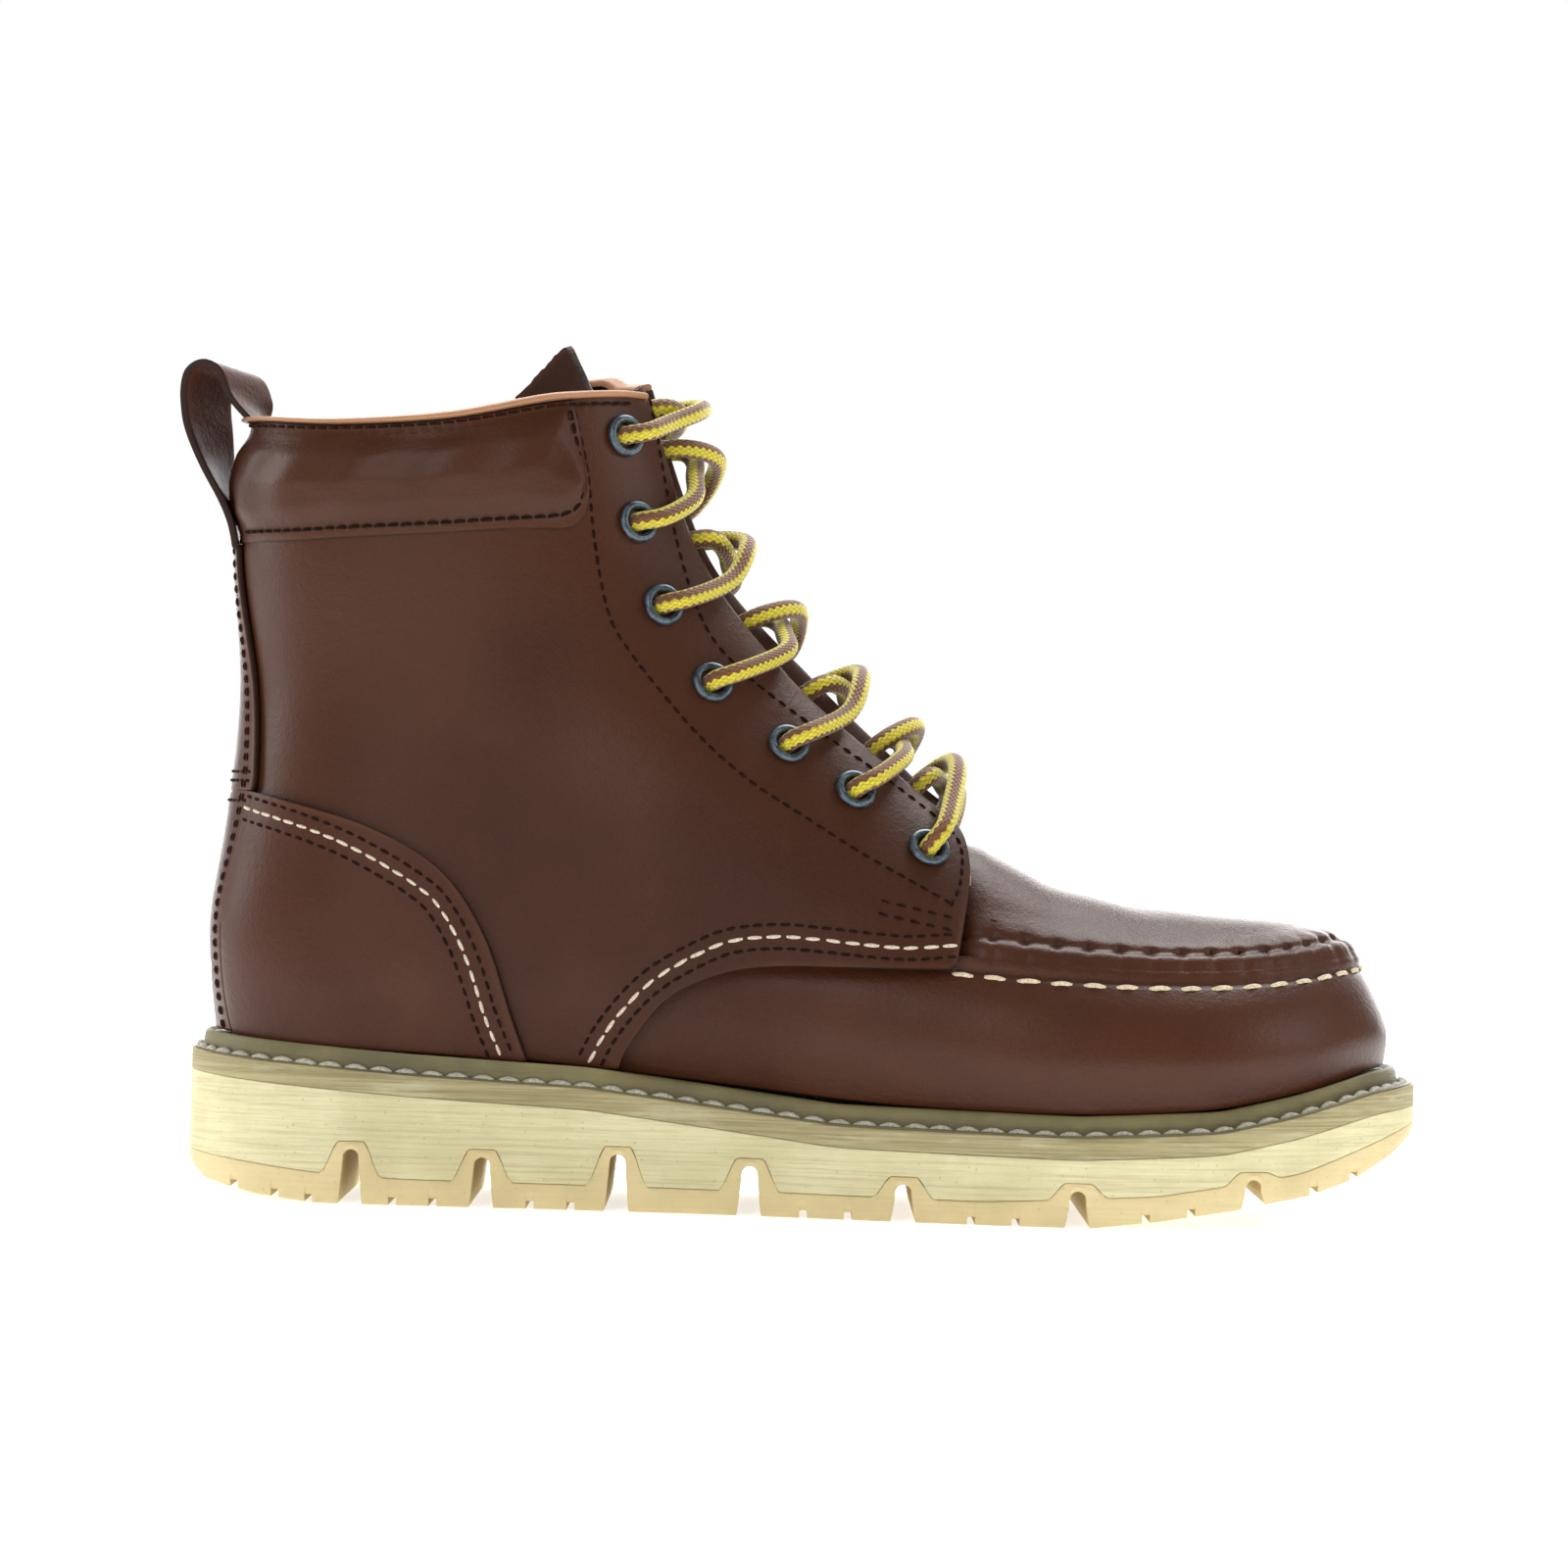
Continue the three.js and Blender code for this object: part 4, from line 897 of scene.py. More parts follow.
def build_vamp():
    rows, columns = WALL_GRID
    a = even_seam(0.35, 2 * TIP - 0.35, rows)[:, None]
    share = np.linspace(0, 1, columns)[None, :]
    h = SEAM * (1 - (1 - share) ** 1.5) * np.ones((rows, 1))
    a = a * np.ones((1, columns))
    face = vamp(a, h)
    steps = np.linalg.norm(np.diff(face, axis=1), axis=-1)
    above = np.concatenate([np.zeros((rows, 1)), np.cumsum(steps, 1)], 1)
    above -= above[:, -1:]
    outer = pushed(vamp, a, h, rolled(a, above))
    inner = pushed(vamp, a, h, np.full(h.shape, -float(LEATHER)))
    depth = np.maximum(border_distance(face), np.where(above > -4, 5, 0))
    joined(sheet("vamp_wall_leather", outer, inner, TOE_BROWN, 0, edge=depth), "boot", "leather", "vamp_wall")
    build_plug()


PLUG_GRID = (371, 52)
PLUG_START = 2.2
STITCH_START = 2.42
PLUG_TUCK = 3.4


def build_plug():
    """The top of the toe, gathered into the rolled seam."""
    rows, columns = PLUG_GRID
    half = even_seam(PLUG_START, TIP, rows // 2 + 1)
    a = np.concatenate([half, 2 * TIP - half[-2::-1]])[:, None] * np.ones((1, columns))
    q = np.linspace(0, 1, columns)[None, :] ** 1.5 * np.ones((rows, 1))
    face = plug(a, q)
    face[:, -1] = (face[:, -1] + face[::-1, -1]) / 2
    steps = np.linalg.norm(np.diff(face, axis=1), axis=-1)
    above = np.concatenate([np.zeros((rows, 1)), np.cumsum(steps, 1)], 1)
    out = normals(vamp, a[:, 0], np.full(rows, float(SEAM)))[:, None]
    up = grid_normals(face)
    ease = smooth(above, 1.0, 7.0)[..., None]
    way = unit(out * (1 - ease) + up * ease)
    gathers = 0.16 * np.cos(2 * math.pi * seam_phase(a)) * np.exp(-((above - 7.5) / 3) ** 2)
    face[..., 2] += RIM * smooth(above, 0.2, 3.2) * (1 - smooth(above, 4.5, 16))
    tucked = (1 - smooth(face[..., 0], 33, 44)) * PLUG_TUCK
    outer = face + way * (rolled(a, above) - gathers * 0.6 - tucked)[..., None]
    outer[:, -1] = (outer[:, -1] + outer[::-1, -1]) / 2
    inner = outer - way * (LEATHER + rolled(a, above))[..., None]
    inner[:, -1] = (inner[:, -1] + inner[::-1, -1]) / 2
    count = rows * columns
    points = np.concatenate([outer.reshape(-1, 3), inner.reshape(-1, 3)])
    index = np.arange(count).reshape(rows, columns)
    rim = np.concatenate([index[-1, ::-1], index[:, 0][::-1], index[0, :]])
    sides = np.stack([rim[:-1], rim[1:], rim[1:] + count, rim[:-1] + count], -1)
    sides = sides[(sides[:, 0] != sides[:, 1])]
    faces = np.concatenate([grid_faces(rows, columns), grid_faces(rows, columns, count)[:, ::-1], sides])
    depth = np.concatenate([np.full(count, 6.0)] * 2)
    piece = made("vamp_plug_leather", points, faces, TOE_BROWN, depth, 0, 0.02)
    joined(piece, "boot", "leather", "vamp_plug")


LACE_DIAMETER = 4.6
EYELET_BACK = LINING_UNDER - GAP - 0.8
EYELET_CURL = 0.7
LACE_LANE = EYELET_BACK - EYELET_CURL - GAP - LACE_DIAMETER / 2
TONGUE, TONGUE_RIDGE, TONGUE_CLEARANCE = 2, 1.6, 1.4
TONGUE_GRID = (90, 80)
TONGUE_TOP = TOP + 0.3


def build_tongue():
    """The tongue, with a raw top edge whose corners stand up behind the collar."""
    rows, columns = TONGUE_GRID
    h = np.linspace(2.67, TONGUE_TOP, rows)[:, None] * np.ones((1, columns))
    t = np.linspace(-1, 1, columns)[None, :] * np.ones((rows, 1))
    waist = mix(5.5, 4.95, np.clip((h - 2.67) / 1.5, 0, 1))
    wide = waist - smooth(h, 5.0, 5.9) * np.where(t < 0, 1.15, 0.5)
    s = FRONT - 0.002 - np.abs(t) * (FRONT - wide)
    under = LACE_LANE - LACE_DIAMETER / 2 - TONGUE_CLEARANCE
    sunk = mix(-TONGUE_RIDGE, under, smooth(np.abs(t) * (FRONT - wide), 0, 1.0))
    corner = np.clip(1 - np.abs(t + 0.66) / 0.38, 0, 1) ** 0.85
    lift = smooth(h, 4.6, TONGUE_TOP) * (14.5 * corner - 6.5 - 2.5 * smooth(t, 0.55, 1))
    ragged = 0.3 * np.sin(t * 90) * np.sin(t * 41 + 1) * smooth(h, 6.1, TONGUE_TOP)
    way = np.where(t < 0, -1, 1)
    outer = pushed(leg, way * s, h, sunk)
    inner = pushed(leg, way * s, h, sunk - TONGUE)
    for face in (outer, inner):
        face[..., 2] += lift + ragged
    joined(sheet("tongue_leather", outer, inner, TONGUE_BROWN, 0.4), "tongue", "leather", "tongue")


def build_linings():
    rows, columns = 150, 60
    end = facing_s(TOP)[0] - 0.14
    s = np.linspace(-end, end, rows)[:, None] * np.ones((1, columns))
    h = np.linspace(0.05, TOP - 0.02, columns)[None, :] * np.ones((rows, 1))
    waist = 3.35 + 1.9 * smooth(h, 1.0, 2.4)
    s = s * np.minimum(1, waist / end)
    edge = np.full(s.shape, 5.0)
    outer, inner = (pushed(leg, s, h, np.full(s.shape, depth)) for depth in (LINING_TOP, LINING_UNDER))
    cloth = sheet("shaft_lining_cloth", outer, inner, LINING_CLOTH, 0, edge=edge)
    joined(cloth, "boot", "lining", "shaft_lining")


# ---------------------------------------------------------------- eyelets
EYELETS = np.array([
    (-47.9, 187.7), (-44.2, 166.7), (-37.4, 146.6), (-24.9, 128), (-6.1, 113.5), (10.4, 102.8), (28.5, 89.2),
])
EYELET_SIDES = 32
EYELET_PROFILE = [
    (3.1, -6.8), (3.1, 0.9), (3.25, 1.4), (3.6, 1.75), (4.15, 1.85), (4.7, 1.7), (5.1, 1.3), (5.25, 0.8),
    (5.15, 0.35), (4.9, 0.1), (3.6, 0.1), (3.6, -6.1), (4.2, -6.1), (4.2, -6.8),
]


class Eyelet:
    """A place for an eyelet: its middle on the leather, the way out, and where it lies on the leg."""

    def __init__(self, side, row, s, h):
        self.side, self.row, self.s, self.h = side, row, s, h
        self.at = leg(side * s, h).reshape(3)
        self.out = normals(leg, side * np.array([s]), np.array([h]))[0]
        ahead = leg(side * (s + 0.05), h) - leg(side * (s - 0.05), h)
        self.forward = unit(ahead.reshape(3))


def placed_eyelets():
    placed = {}
    for _, side in SIDES:
        at = located(SIDE_VIEW, EYELETS[:, 0], EYELETS[:, 1], side, (3, FRONT))
        for row, (s, h) in enumerate(at, 1):
            placed[side, row] = Eyelet(side, row, s, h)
    return placed


def turned_rings(profile, at, out, sides):
    """Rings of a turned profile of (radius, height) about an axis."""
    first = unit(np.cross(out, [0.3, 1, 0.2]))
    second = np.cross(out, first)
    turn = np.linspace(0, 2 * math.pi, sides, endpoint=False)[:, None]
    wheel = first * np.cos(turn) + second * np.sin(turn)
    return np.array([at + out * height + wheel * radius for radius, height in profile])


def build_eyelets(placed):
    for (side, row), eyelet in placed.items():
        side_name = "lateral" if side == LATERAL else "medial"
        rings = turned_rings(EYELET_PROFILE, eyelet.at, eyelet.out, EYELET_SIDES)
        name = f"eyelet_{side_name}_{row}"
        ring = lofted(f"{name}_ring", rings, ENAMEL, closed_ends=False, smooth_angle=60)
        joined(ring, "boot", "enamel", name)


# ---------------------------------------------------------------- the lace
EDGE_DEPTH = LACE_DIAMETER / 2 + 2.1


def centripetal(points, steps):
    """A smooth line through points, with the same number of steps between each two of them."""
    points = np.asarray(points, float)
    net = extended(points, 0)
    gaps = np.sqrt(np.linalg.norm(np.diff(net, axis=0), axis=1))
    t = np.arange(steps) / steps
    pieces = []
    for i in range(len(points) - 1):
        p0, p1, p2, p3 = net[i:i + 4]
        d0, d1, d2 = gaps[i:i + 3]
        m1 = ((p1 - p0) / d0 - (p2 - p0) / (d0 + d1) + (p2 - p1) / d1) * d1
        m2 = ((p2 - p1) / d1 - (p3 - p1) / (d1 + d2) + (p3 - p2) / d2) * d1
        u = t[:, None]
        pieces.append(
            p1 * (2 * u ** 3 - 3 * u ** 2 + 1) + m1 * (u ** 3 - 2 * u ** 2 + u)
            + p2 * (3 * u ** 2 - 2 * u ** 3) + m2 * (u ** 3 - u ** 2)
        )
    return np.concatenate([*pieces, points[-1:]])


def on_leg(side, s, h, depth):
    return pushed(leg, np.array([side * s]), np.array([h]), np.array([depth]))[0]


def through_eyelet(eyelet):
    knots = ((LACE_LANE, 4.6), (LACE_LANE + 0.9, 0.6), (2.4, 0.1), (4.9, 2.9))
    return [eyelet.at + eyelet.out * depth + eyelet.forward * ahead for depth, ahead in knots]


def crossing(start, end, proud):
    """From one eyelet over its facing, across the tongue and under the other facing."""
    knots = (
        (start.side, 1, 0.3, EDGE_DEPTH), (start.side, 0.5, 0.6, proud), (end.side, 0.1, 0.8, proud),
        (end.side, 0.55, 0.93, 1.2), (end.side, 0.8, 0.97, LACE_LANE + 2), (end.side, 1.1, 0.97, LACE_LANE),
    )
    line = []
    for side, edges, rise, depth in knots:
        h = mix(start.h, end.h, rise)
        s = FRONT - edges * (FRONT - facing_s(h)[0])
        line.append(on_leg(side, s, h, depth))
    return line


def climb(placed, side, proud):
    rows = len(EYELETS)
    stops = [placed[-side if i % 2 else side, rows - i] for i in range(rows)]
    line = []
    for stop, after in zip(stops, stops[1:]):
        line += through_eyelet(stop) + crossing(stop, after, proud)
    return line + through_eyelet(stops[-1])


def lace_tail(side, proud):
    """The free end goes over the top of the facing and down inside the shaft."""
    knots = (
        (1, 5.75, EDGE_DEPTH, 5.82), (1, 6.5, proud, 5.88), (-1, 6.6, proud, 5.92), (-1, 6.15, 1, 5.95),
        (-1, 5.6, LACE_LANE + 1, 5.95), (-1, 5, LACE_LANE, 5.93), (-1, 4.5, LACE_LANE, 5.7),
        (-1, 4.3, LACE_LANE, 5.2),
        (-1, 4.2, LACE_LANE, 4.5), (-1, 4.15, LACE_LANE, 3.8),
    )
    return [on_leg(side * to, s, h, depth) for to, s, depth, h in knots]


def lace_route(placed):
    under = EDGE_DEPTH - 2.2
    over = under + LACE_DIAMETER + 0.5
    start = placed[LATERAL, len(EYELETS)]
    first = climb(placed, LATERAL, over) + lace_tail(LATERAL, over)
    second = climb(placed, MEDIAL, under) + lace_tail(MEDIAL, under)
    edge = [
        on_leg(side, FRONT - 0.7 * (FRONT - facing_s(start.h)[0]), start.h + 0.05, -3.0) for _, side in SIDES
    ]
    middle = on_leg(1, FRONT - 0.01, start.h + 0.12, 2.6)
    return centripetal([*first[::-1], edge[0], middle, edge[1], *second], 8)


def swept(line, section):
    """Rings of a section of (across, up) along a line, turned as little as possible."""
    tangents = unit(np.gradient(line, axis=0))
    across = unit(np.cross(tangents[0], [0.2, 1, 0.3]))
    rings = []
    for point, tangent in zip(line, tangents):
        across = unit(across - tangent * np.dot(across, tangent))
        rings.append(point + section[:, :1] * across + section[:, 1:] * np.cross(tangent, across))
    return np.array(rings)


LACE_SIDES = 16
LACE_STEP = 1.25


def build_lace(placed):
    route = lace_route(placed)
    length = np.linalg.norm(np.diff(route, axis=0), axis=1).sum()
    line = resampled(route, int(length / LACE_STEP))
    for _ in range(3):
        line[1:-1] = (line[:-2] + 2 * line[1:-1] + line[2:]) / 4
    turn = np.linspace(0, 2 * math.pi, LACE_SIDES, endpoint=False)
    section = np.stack([np.cos(turn), np.sin(turn)], -1) * LACE_DIAMETER / 2
    rings = swept(line, section)
    lace = lofted("lace_rope", rings, ROPE, weld=0, smooth_angle=80)
    run = np.arange(len(line)) * length / len(line)
    around = np.arange(LACE_SIDES) / LACE_SIDES
    layer = lace.data.uv_layers.new(name="lace")
    for face in lace.data.polygons:
        corners = [lace.data.loops[i].vertex_index for i in face.loop_indices]
        wraps = {c % LACE_SIDES for c in corners} == {0, LACE_SIDES - 1}
        for loop, vertex in zip(face.loop_indices, corners):
            u = around[vertex % LACE_SIDES]
            layer.data[loop].uv = (1 if wraps and u == 0 else u, run[vertex // LACE_SIDES])
    joined(lace, "boot", "lace", "lace")
    radius = LACE_DIAMETER / 2
    tip = [
        (0.05, 0.1), (radius - 0.15, 0.1), (radius, 0.5), (radius, 18.4), (radius - 0.3, 19.2),
        (radius - 1, 19.8), (0.05, 20),
    ]
    for number, (end, before) in enumerate(((route[0], route[1]), (route[-1], route[-2])), 1):
        rings = turned_rings(tip, end, unit(end - before), 24)
        joined(lofted(f"lace_tip_{number}", rings, LACE_TIP), "boot", "aglet", f"aglet_{number}")


# ---------------------------------------------------------------- the pull loop
STRAP, STRAP_WIDE = 1.8, 19.5
LOOP_LINE = np.array([
    (-143.7, 158.6), (-144.6, 163), (-146.5, 170), (-148.6, 177), (-150.1, 184), (-151.1, 190), (-151.6, 196),
    (-150.6, 200.8), (-147.2, 203), (-143.4, 201.4), (-141.4, 197), (-140.2, 192), (-138.6, 187),
    (-136.6, 182.5),
    (-135.9, 178), (-135.9, 176),
])


def build_loop():
    """One strap: sewn to the collar outside, round the loop and down inside the heel."""
    line = resampled(rounded(LOOP_LINE, 400), 150)
    tangent = unit(np.gradient(line, axis=0))
    out = np.stack([-tangent[:, 1], tangent[:, 0]], -1)
    width = np.linspace(-STRAP_WIDE / 2, STRAP_WIDE / 2, 22)
    along = np.linspace(0, 1, len(line))
    free = (smooth(along, 0.06, 0.42) * (1 - smooth(along, 0.72, 0.86)))[:, None]
    faces = []
    for lift in (STRAP / 2, -STRAP / 2):
        flat_line = line + out * lift
        x = flat_line[:, :1] + free * (width * 0.5 - 0.8) + 0.006 * width ** 2 * (1 - free)
        z = flat_line[:, 1:] - free * width * 0.12
        y = np.broadcast_to(width * mix(1, 0.82, free), x.shape)
        faces.append(np.stack([x, y, z], -1))
    strap = sheet("pull_loop_strap", faces[0], faces[1], STRAP_BROWN, 0.35)
    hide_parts("pull_loop", "pull_loop_outer_end", "pull_loop_inner_end")
    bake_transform(strap)


# ---------------------------------------------------------------- the sole
SOLE_OUTLINE = np.array([
    (-151.4, 0), (-148, -16), (-138, -29), (-115, -39), (-85, -40.5), (-50, -41.5), (-15, -44.5), (20, -51.5),
    (55, -57), (85, -56), (112, -47.5), (133, -33), (146.5, -14), (151.4, 4), (147.5, 20), (133, 38),
    (112, 48.5), (85, 53.5), (60, 52.5), (30, 46), (0, 39.5), (-30, 36.5), (-60, 36), (-90, 37.5),
    (-118, 37), (-138, 28.5),
    (-148, 16),
])
WELT_TOP = np.array([(-151.8, 40.2), (-131.8, 38.4), (-95, 36), (-52, 34), (8, 27), (66, 25.9), (100, 27.6),
                     (119, 31.6), (138.6, 37), (151.4, 38.6)])
SPLIT = np.array([(-151.8, 11), (-120, 7.6), (-96, 6.4), (43, 5.7), (85, 8), (120, 13.5), (151.4, 25)])
GROUND = np.array([(-151.8, 9.4), (-150, 7.7), (-146, 4.2), (-132, 1.4), (-118, 0), (69, 0), (85.3, 1.9),
                   (104.8, 4.9), (122.6, 8.2), (133.9, 11.8), (144.5, 17.6), (149.9, 21.6), (151.4, 23.4)])
GROOVES = [(-108.9, 13.2), (-77.2, 12.1), (-44.5, 13.7), (-12.6, 11.9), (24.3, 8.9), (65.8, 8.7), (108.2, 12)]
NOTCHES = [-137.8, -127.4, -119, -98.6, -88.9, -65.4, -55.6, 0.5, 11.2, 40.5, 51.1, 82.2, 93.1, 123.4, 133.7]
GROOVE_HALF, GROOVE_ROOF, NOTCH = 3.1, 2, 1.9
SLOT_HALF = 1.9
WELT, SLIP_SOLE = 4.6, 4.8
JOINT = 0.06


def smooth_line(points, x):
    """Heights off a line of (x, z) points with its corners eased."""
    reach = np.linspace(-5, 5, 11)
    share = np.exp(-(reach / 3.2) ** 2)
    heights = np.array([np.interp(x + r, points[:, 0], points[:, 1]) for r in reach])
    return (heights * share[:, None]).sum(0) / share.sum()


def ring_closed(points, per_span=60):
    """A closed smooth line through points."""
    wrapped = np.concatenate([points[-3:], points, points[:3]])
    line = centripetal(np.column_stack([wrapped, np.zeros(len(wrapped))]), per_span)[:, :2]
    return line[3 * per_span:-(3 * per_span - per_span) - 1][:len(points) * per_span]


OUTLINE = ring_closed(SOLE_OUTLINE)
toe_index = int(np.argmax(OUTLINE[:, 0]))
OUTER_EDGE, INNER_EDGE = OUTLINE[:toe_index + 1], OUTLINE[toe_index:][::-1]
INNER_EDGE = np.concatenate([OUTLINE[:1], INNER_EDGE])


def edge_y(x, edge):
    order = np.argsort(edge[:, 0])
    return np.interp(x, edge[order, 0], edge[order, 1])


def sole_stations(marks=()):
    turn = np.linspace(-math.pi / 2, math.pi / 2, 300)
    ends = (OUTLINE[:, 0].min() + 0.002, OUTLINE[:, 0].max() - 0.002)
    x = (ends[0] + ends[1]) / 2 + (ends[1] - ends[0]) / 2 * np.sin(turn)
    return np.unique(np.round(np.concatenate([x, marks]), 4))


def slab(name, x, top, bottom, finish, corner, slot, node, waist=0.0):
    """A layer of the sole between two heights along x, its side faces rounded at the corners."""
    lateral, medial = edge_y(x, OUTER_EDGE), edge_y(x, INNER_EDGE)
    middle, half = (lateral + medial) / 2, np.maximum((medial - lateral) / 2, 0.01)
    turn = np.linspace(0, math.pi / 2, 4)
    tall = top - bottom
    r = np.minimum(corner, np.minimum(half, tall / 2) * 0.9)
    rows = [(half - r * (1 - math.sin(t)), bottom + r * (1 - math.cos(t))) for t in turn]
    for share in (0.25, 0.5, 0.75):
        pinched = waist * math.sin(math.pi * share) * np.minimum(1, half / 12)
        rows.append((half - pinched, bottom + r + (tall - 2 * r) * share))
    rows += [(half - r * (1 - math.cos(t)), top - r * (1 - math.sin(t))) for t in turn]
    caps = (0.66, 0.33, 0.0, -0.33, -0.66)
    right = [np.stack([x, middle + reach, z], -1) for reach, z in rows]
    left = [np.stack([x, middle - reach, z], -1) for reach, z in rows[::-1]]
    roof = [np.stack([x, middle + (half - r) * share, top], -1) for share in caps]
    floor = [np.stack([x, middle - (half - r) * share, bottom], -1) for share in caps]
    rings = np.stack(right + roof + left + floor, 1)
    piece = lofted(name, rings, finish, np.full(rings.shape[:2], 5.0), 0.01, smooth_angle=38)
    return joined(piece, "boot", slot, node)


def tread_height(x):
    z = np.interp(x, GROUND[:, 0], GROUND[:, 1])
    for middle in NOTCHES:
        z = np.where(np.abs(x - middle) < NOTCH / 2, np.interp(middle, GROUND[:, 0], GROUND[:, 1]) + NOTCH, z)
    for middle, top in GROOVES:
        away = np.abs(x - middle)
        foot = top - SLOT_HALF
        arch = top - SLOT_HALF * (1 - np.sqrt(1 - np.clip(away / SLOT_HALF, 0, 1) ** 2))
        flare = mix(foot - 1.2, z, smooth(away, SLOT_HALF, GROOVE_HALF) ** 0.7)
        z = np.where(away < SLOT_HALF, arch, np.where(away < GROOVE_HALF, flare, z))
    return z


def split_height(x):
    """Where the outsole meets the midsole: it rises in a soft arch over each groove."""
    base = smooth_line(SPLIT, x)
    z = base
    for middle, top in GROOVES:
        away = np.abs(x - middle)
        arch = 1 - smooth(away, GROOVE_HALF - 0.3, GROOVE_HALF + GROOVE_ROOF + 2.4)
        z = np.maximum(z, base + (top + GROOVE_ROOF - base) * arch)
    return z


def build_sole():
    near = 0.02
    marks = [c + side * (half + step) for c, half in
             [(c, GROOVE_HALF) for c, _ in GROOVES] + [(c, NOTCH / 2) for c in NOTCHES]
             for side in (-1, 1) for step in (-near, near)]
    arches = [c + half * math.sin(t) for c, _ in GROOVES for half in (SLOT_HALF, GROOVE_HALF)
              for t in np.linspace(-1.5, 1.5, 17)]
    x = sole_stations(marks + arches)
    tread_top, tread_foot = split_height(x) - JOINT, tread_height(x)
    slab("outsole_rubber", x, tread_top, tread_foot, OUTSOLE_RUBBER, 0.55, "outsole_rubber",
         "outsole", -0.25)
    waves = sole_stations([c + step for c, _ in GROOVES for step in np.linspace(-9, 9, 31)])
    slip_top = smooth_line(WELT_TOP, waves) - WELT - GAP
    mid_top = slip_top - SLIP_SOLE - GAP
    slab("midsole_foam", waves, mid_top + GAP - JOINT, split_height(waves), MIDSOLE_FOAM, 0.4, "midsole_foam",
         "midsole", 0.35)
    strip_top, strip_foot = slip_top + GAP - JOINT, mid_top + GAP
    slab("slip_sole_strip", waves, strip_top, strip_foot, SLIP_STRIP, 0.35, "slip_sole", "slip_sole",
         -0.15)


def upper_foot():
    """The line round the foot of the upper, seen from above, that the welt bead lies against."""
    lines = []
    for _, side in SIDES:
        s = np.linspace(0, 3.7, 160)
        cover = COVER_TOP * (1 - smooth(s, 3.15, 3.3))
        p = pushed(leg, side * s, np.full(s.shape, 0.35), cover)
        lines.append(p[p[:, 0] < -48])
    a = np.linspace(0, 2 * TIP, 700)
    toe = vamp(a, np.full(a.shape, 0.25))
    toe = toe[toe[:, 0] > -40]
    ring = np.concatenate([lines[0], toe, lines[1][::-1]])[:, :2]
    return resampled(np.concatenate([ring, ring[:1]]), 1400)


WELT_INSET = 0.8
BEAD_WIDTH, GROOVE_WIDE = 3.0, 0.9
LEDGE, BEAD_TOP = -4.1, 0.45
WELT_REACH = 6.0


def welt_frames(count=720):
    """Points round the edge of the welt, the way in from each, and how far the upper is."""
    edge = resampled(np.concatenate([OUTLINE, OUTLINE[:1]]), count + 1)[:-1]
    forward = unit(np.roll(edge, -1, 0) - np.roll(edge, 1, 0))
    inward = np.stack([-forward[:, 1], forward[:, 0]], -1)
    edge = edge + inward * WELT_INSET
    foot = upper_foot()
    gap = np.empty(count)
    for i, point in enumerate(edge):
        away = foot - point
        ahead = away @ inward[i]
        aside = np.abs(away @ forward[i])
        near = (aside < 1.5) & (ahead > 0) & (ahead < 25)
        gap[i] = ahead[near].min() if near.any() else np.linalg.norm(away, axis=1).min()
    for _ in range(20):
        gap = (np.roll(gap, 1) + 2 * gap + np.roll(gap, -1)) / 4
    return edge, inward, gap


def build_welt():
    """The ledge that is stitched to the sole, and the bead that lies against the upper."""
    edge, inward, gap = welt_frames()
    scale = np.minimum(1, (gap - 1.4) / (BEAD_WIDTH + GROOVE_WIDE))
    bead, groove = BEAD_WIDTH * scale, GROOVE_WIDE * scale
    ledge = gap - bead - groove
    ridge = ledge + groove
    profile = [(0, -WELT - GAP + JOINT), (0, LEDGE - 0.3), (0.12, LEDGE - 0.1), (0.4, LEDGE)]
    line = [(np.full(gap.shape, float(f)), z) for f, z in profile]
    line += [(ledge * 0.5 + 0.2, LEDGE), (ledge, LEDGE - 0.05), (ledge + groove * 0.5, LEDGE - 0.35),
             (ledge + groove * 0.9, LEDGE - 0.3)]
    turn = np.linspace(math.pi, 0.1 * math.pi, 12)
    rise = BEAD_TOP - LEDGE
    line += [(ridge + bead * (0.5 + 0.5 * math.cos(t)), LEDGE + rise * math.sin(t) ** 0.7) for t in turn]
    line += [(gap + 0.05, -0.3), (gap + WELT_REACH, -0.3), (gap + WELT_REACH, -WELT)]
    rings = []
    for reach, z in line:
        plan = edge + inward * reach[:, None]
        rings.append(np.column_stack([plan, smooth_line(WELT_TOP, plan[:, 0]) + z]))
    rings = np.stack(rings, 1)
    piece = lofted("storm_welt", rings, WELT_RUBBER, np.full(rings.shape[:2], 5.0), 0, False, 50)
    joined(piece, "boot", "welt", "welt")
    stitch_plan = edge + inward * (ledge * 0.55 + 0.25)[:, None]
    points = np.column_stack([stitch_plan, smooth_line(WELT_TOP, stitch_plan[:, 0]) + LEDGE + 0.02])
    return np.concatenate([points, points[:1]])


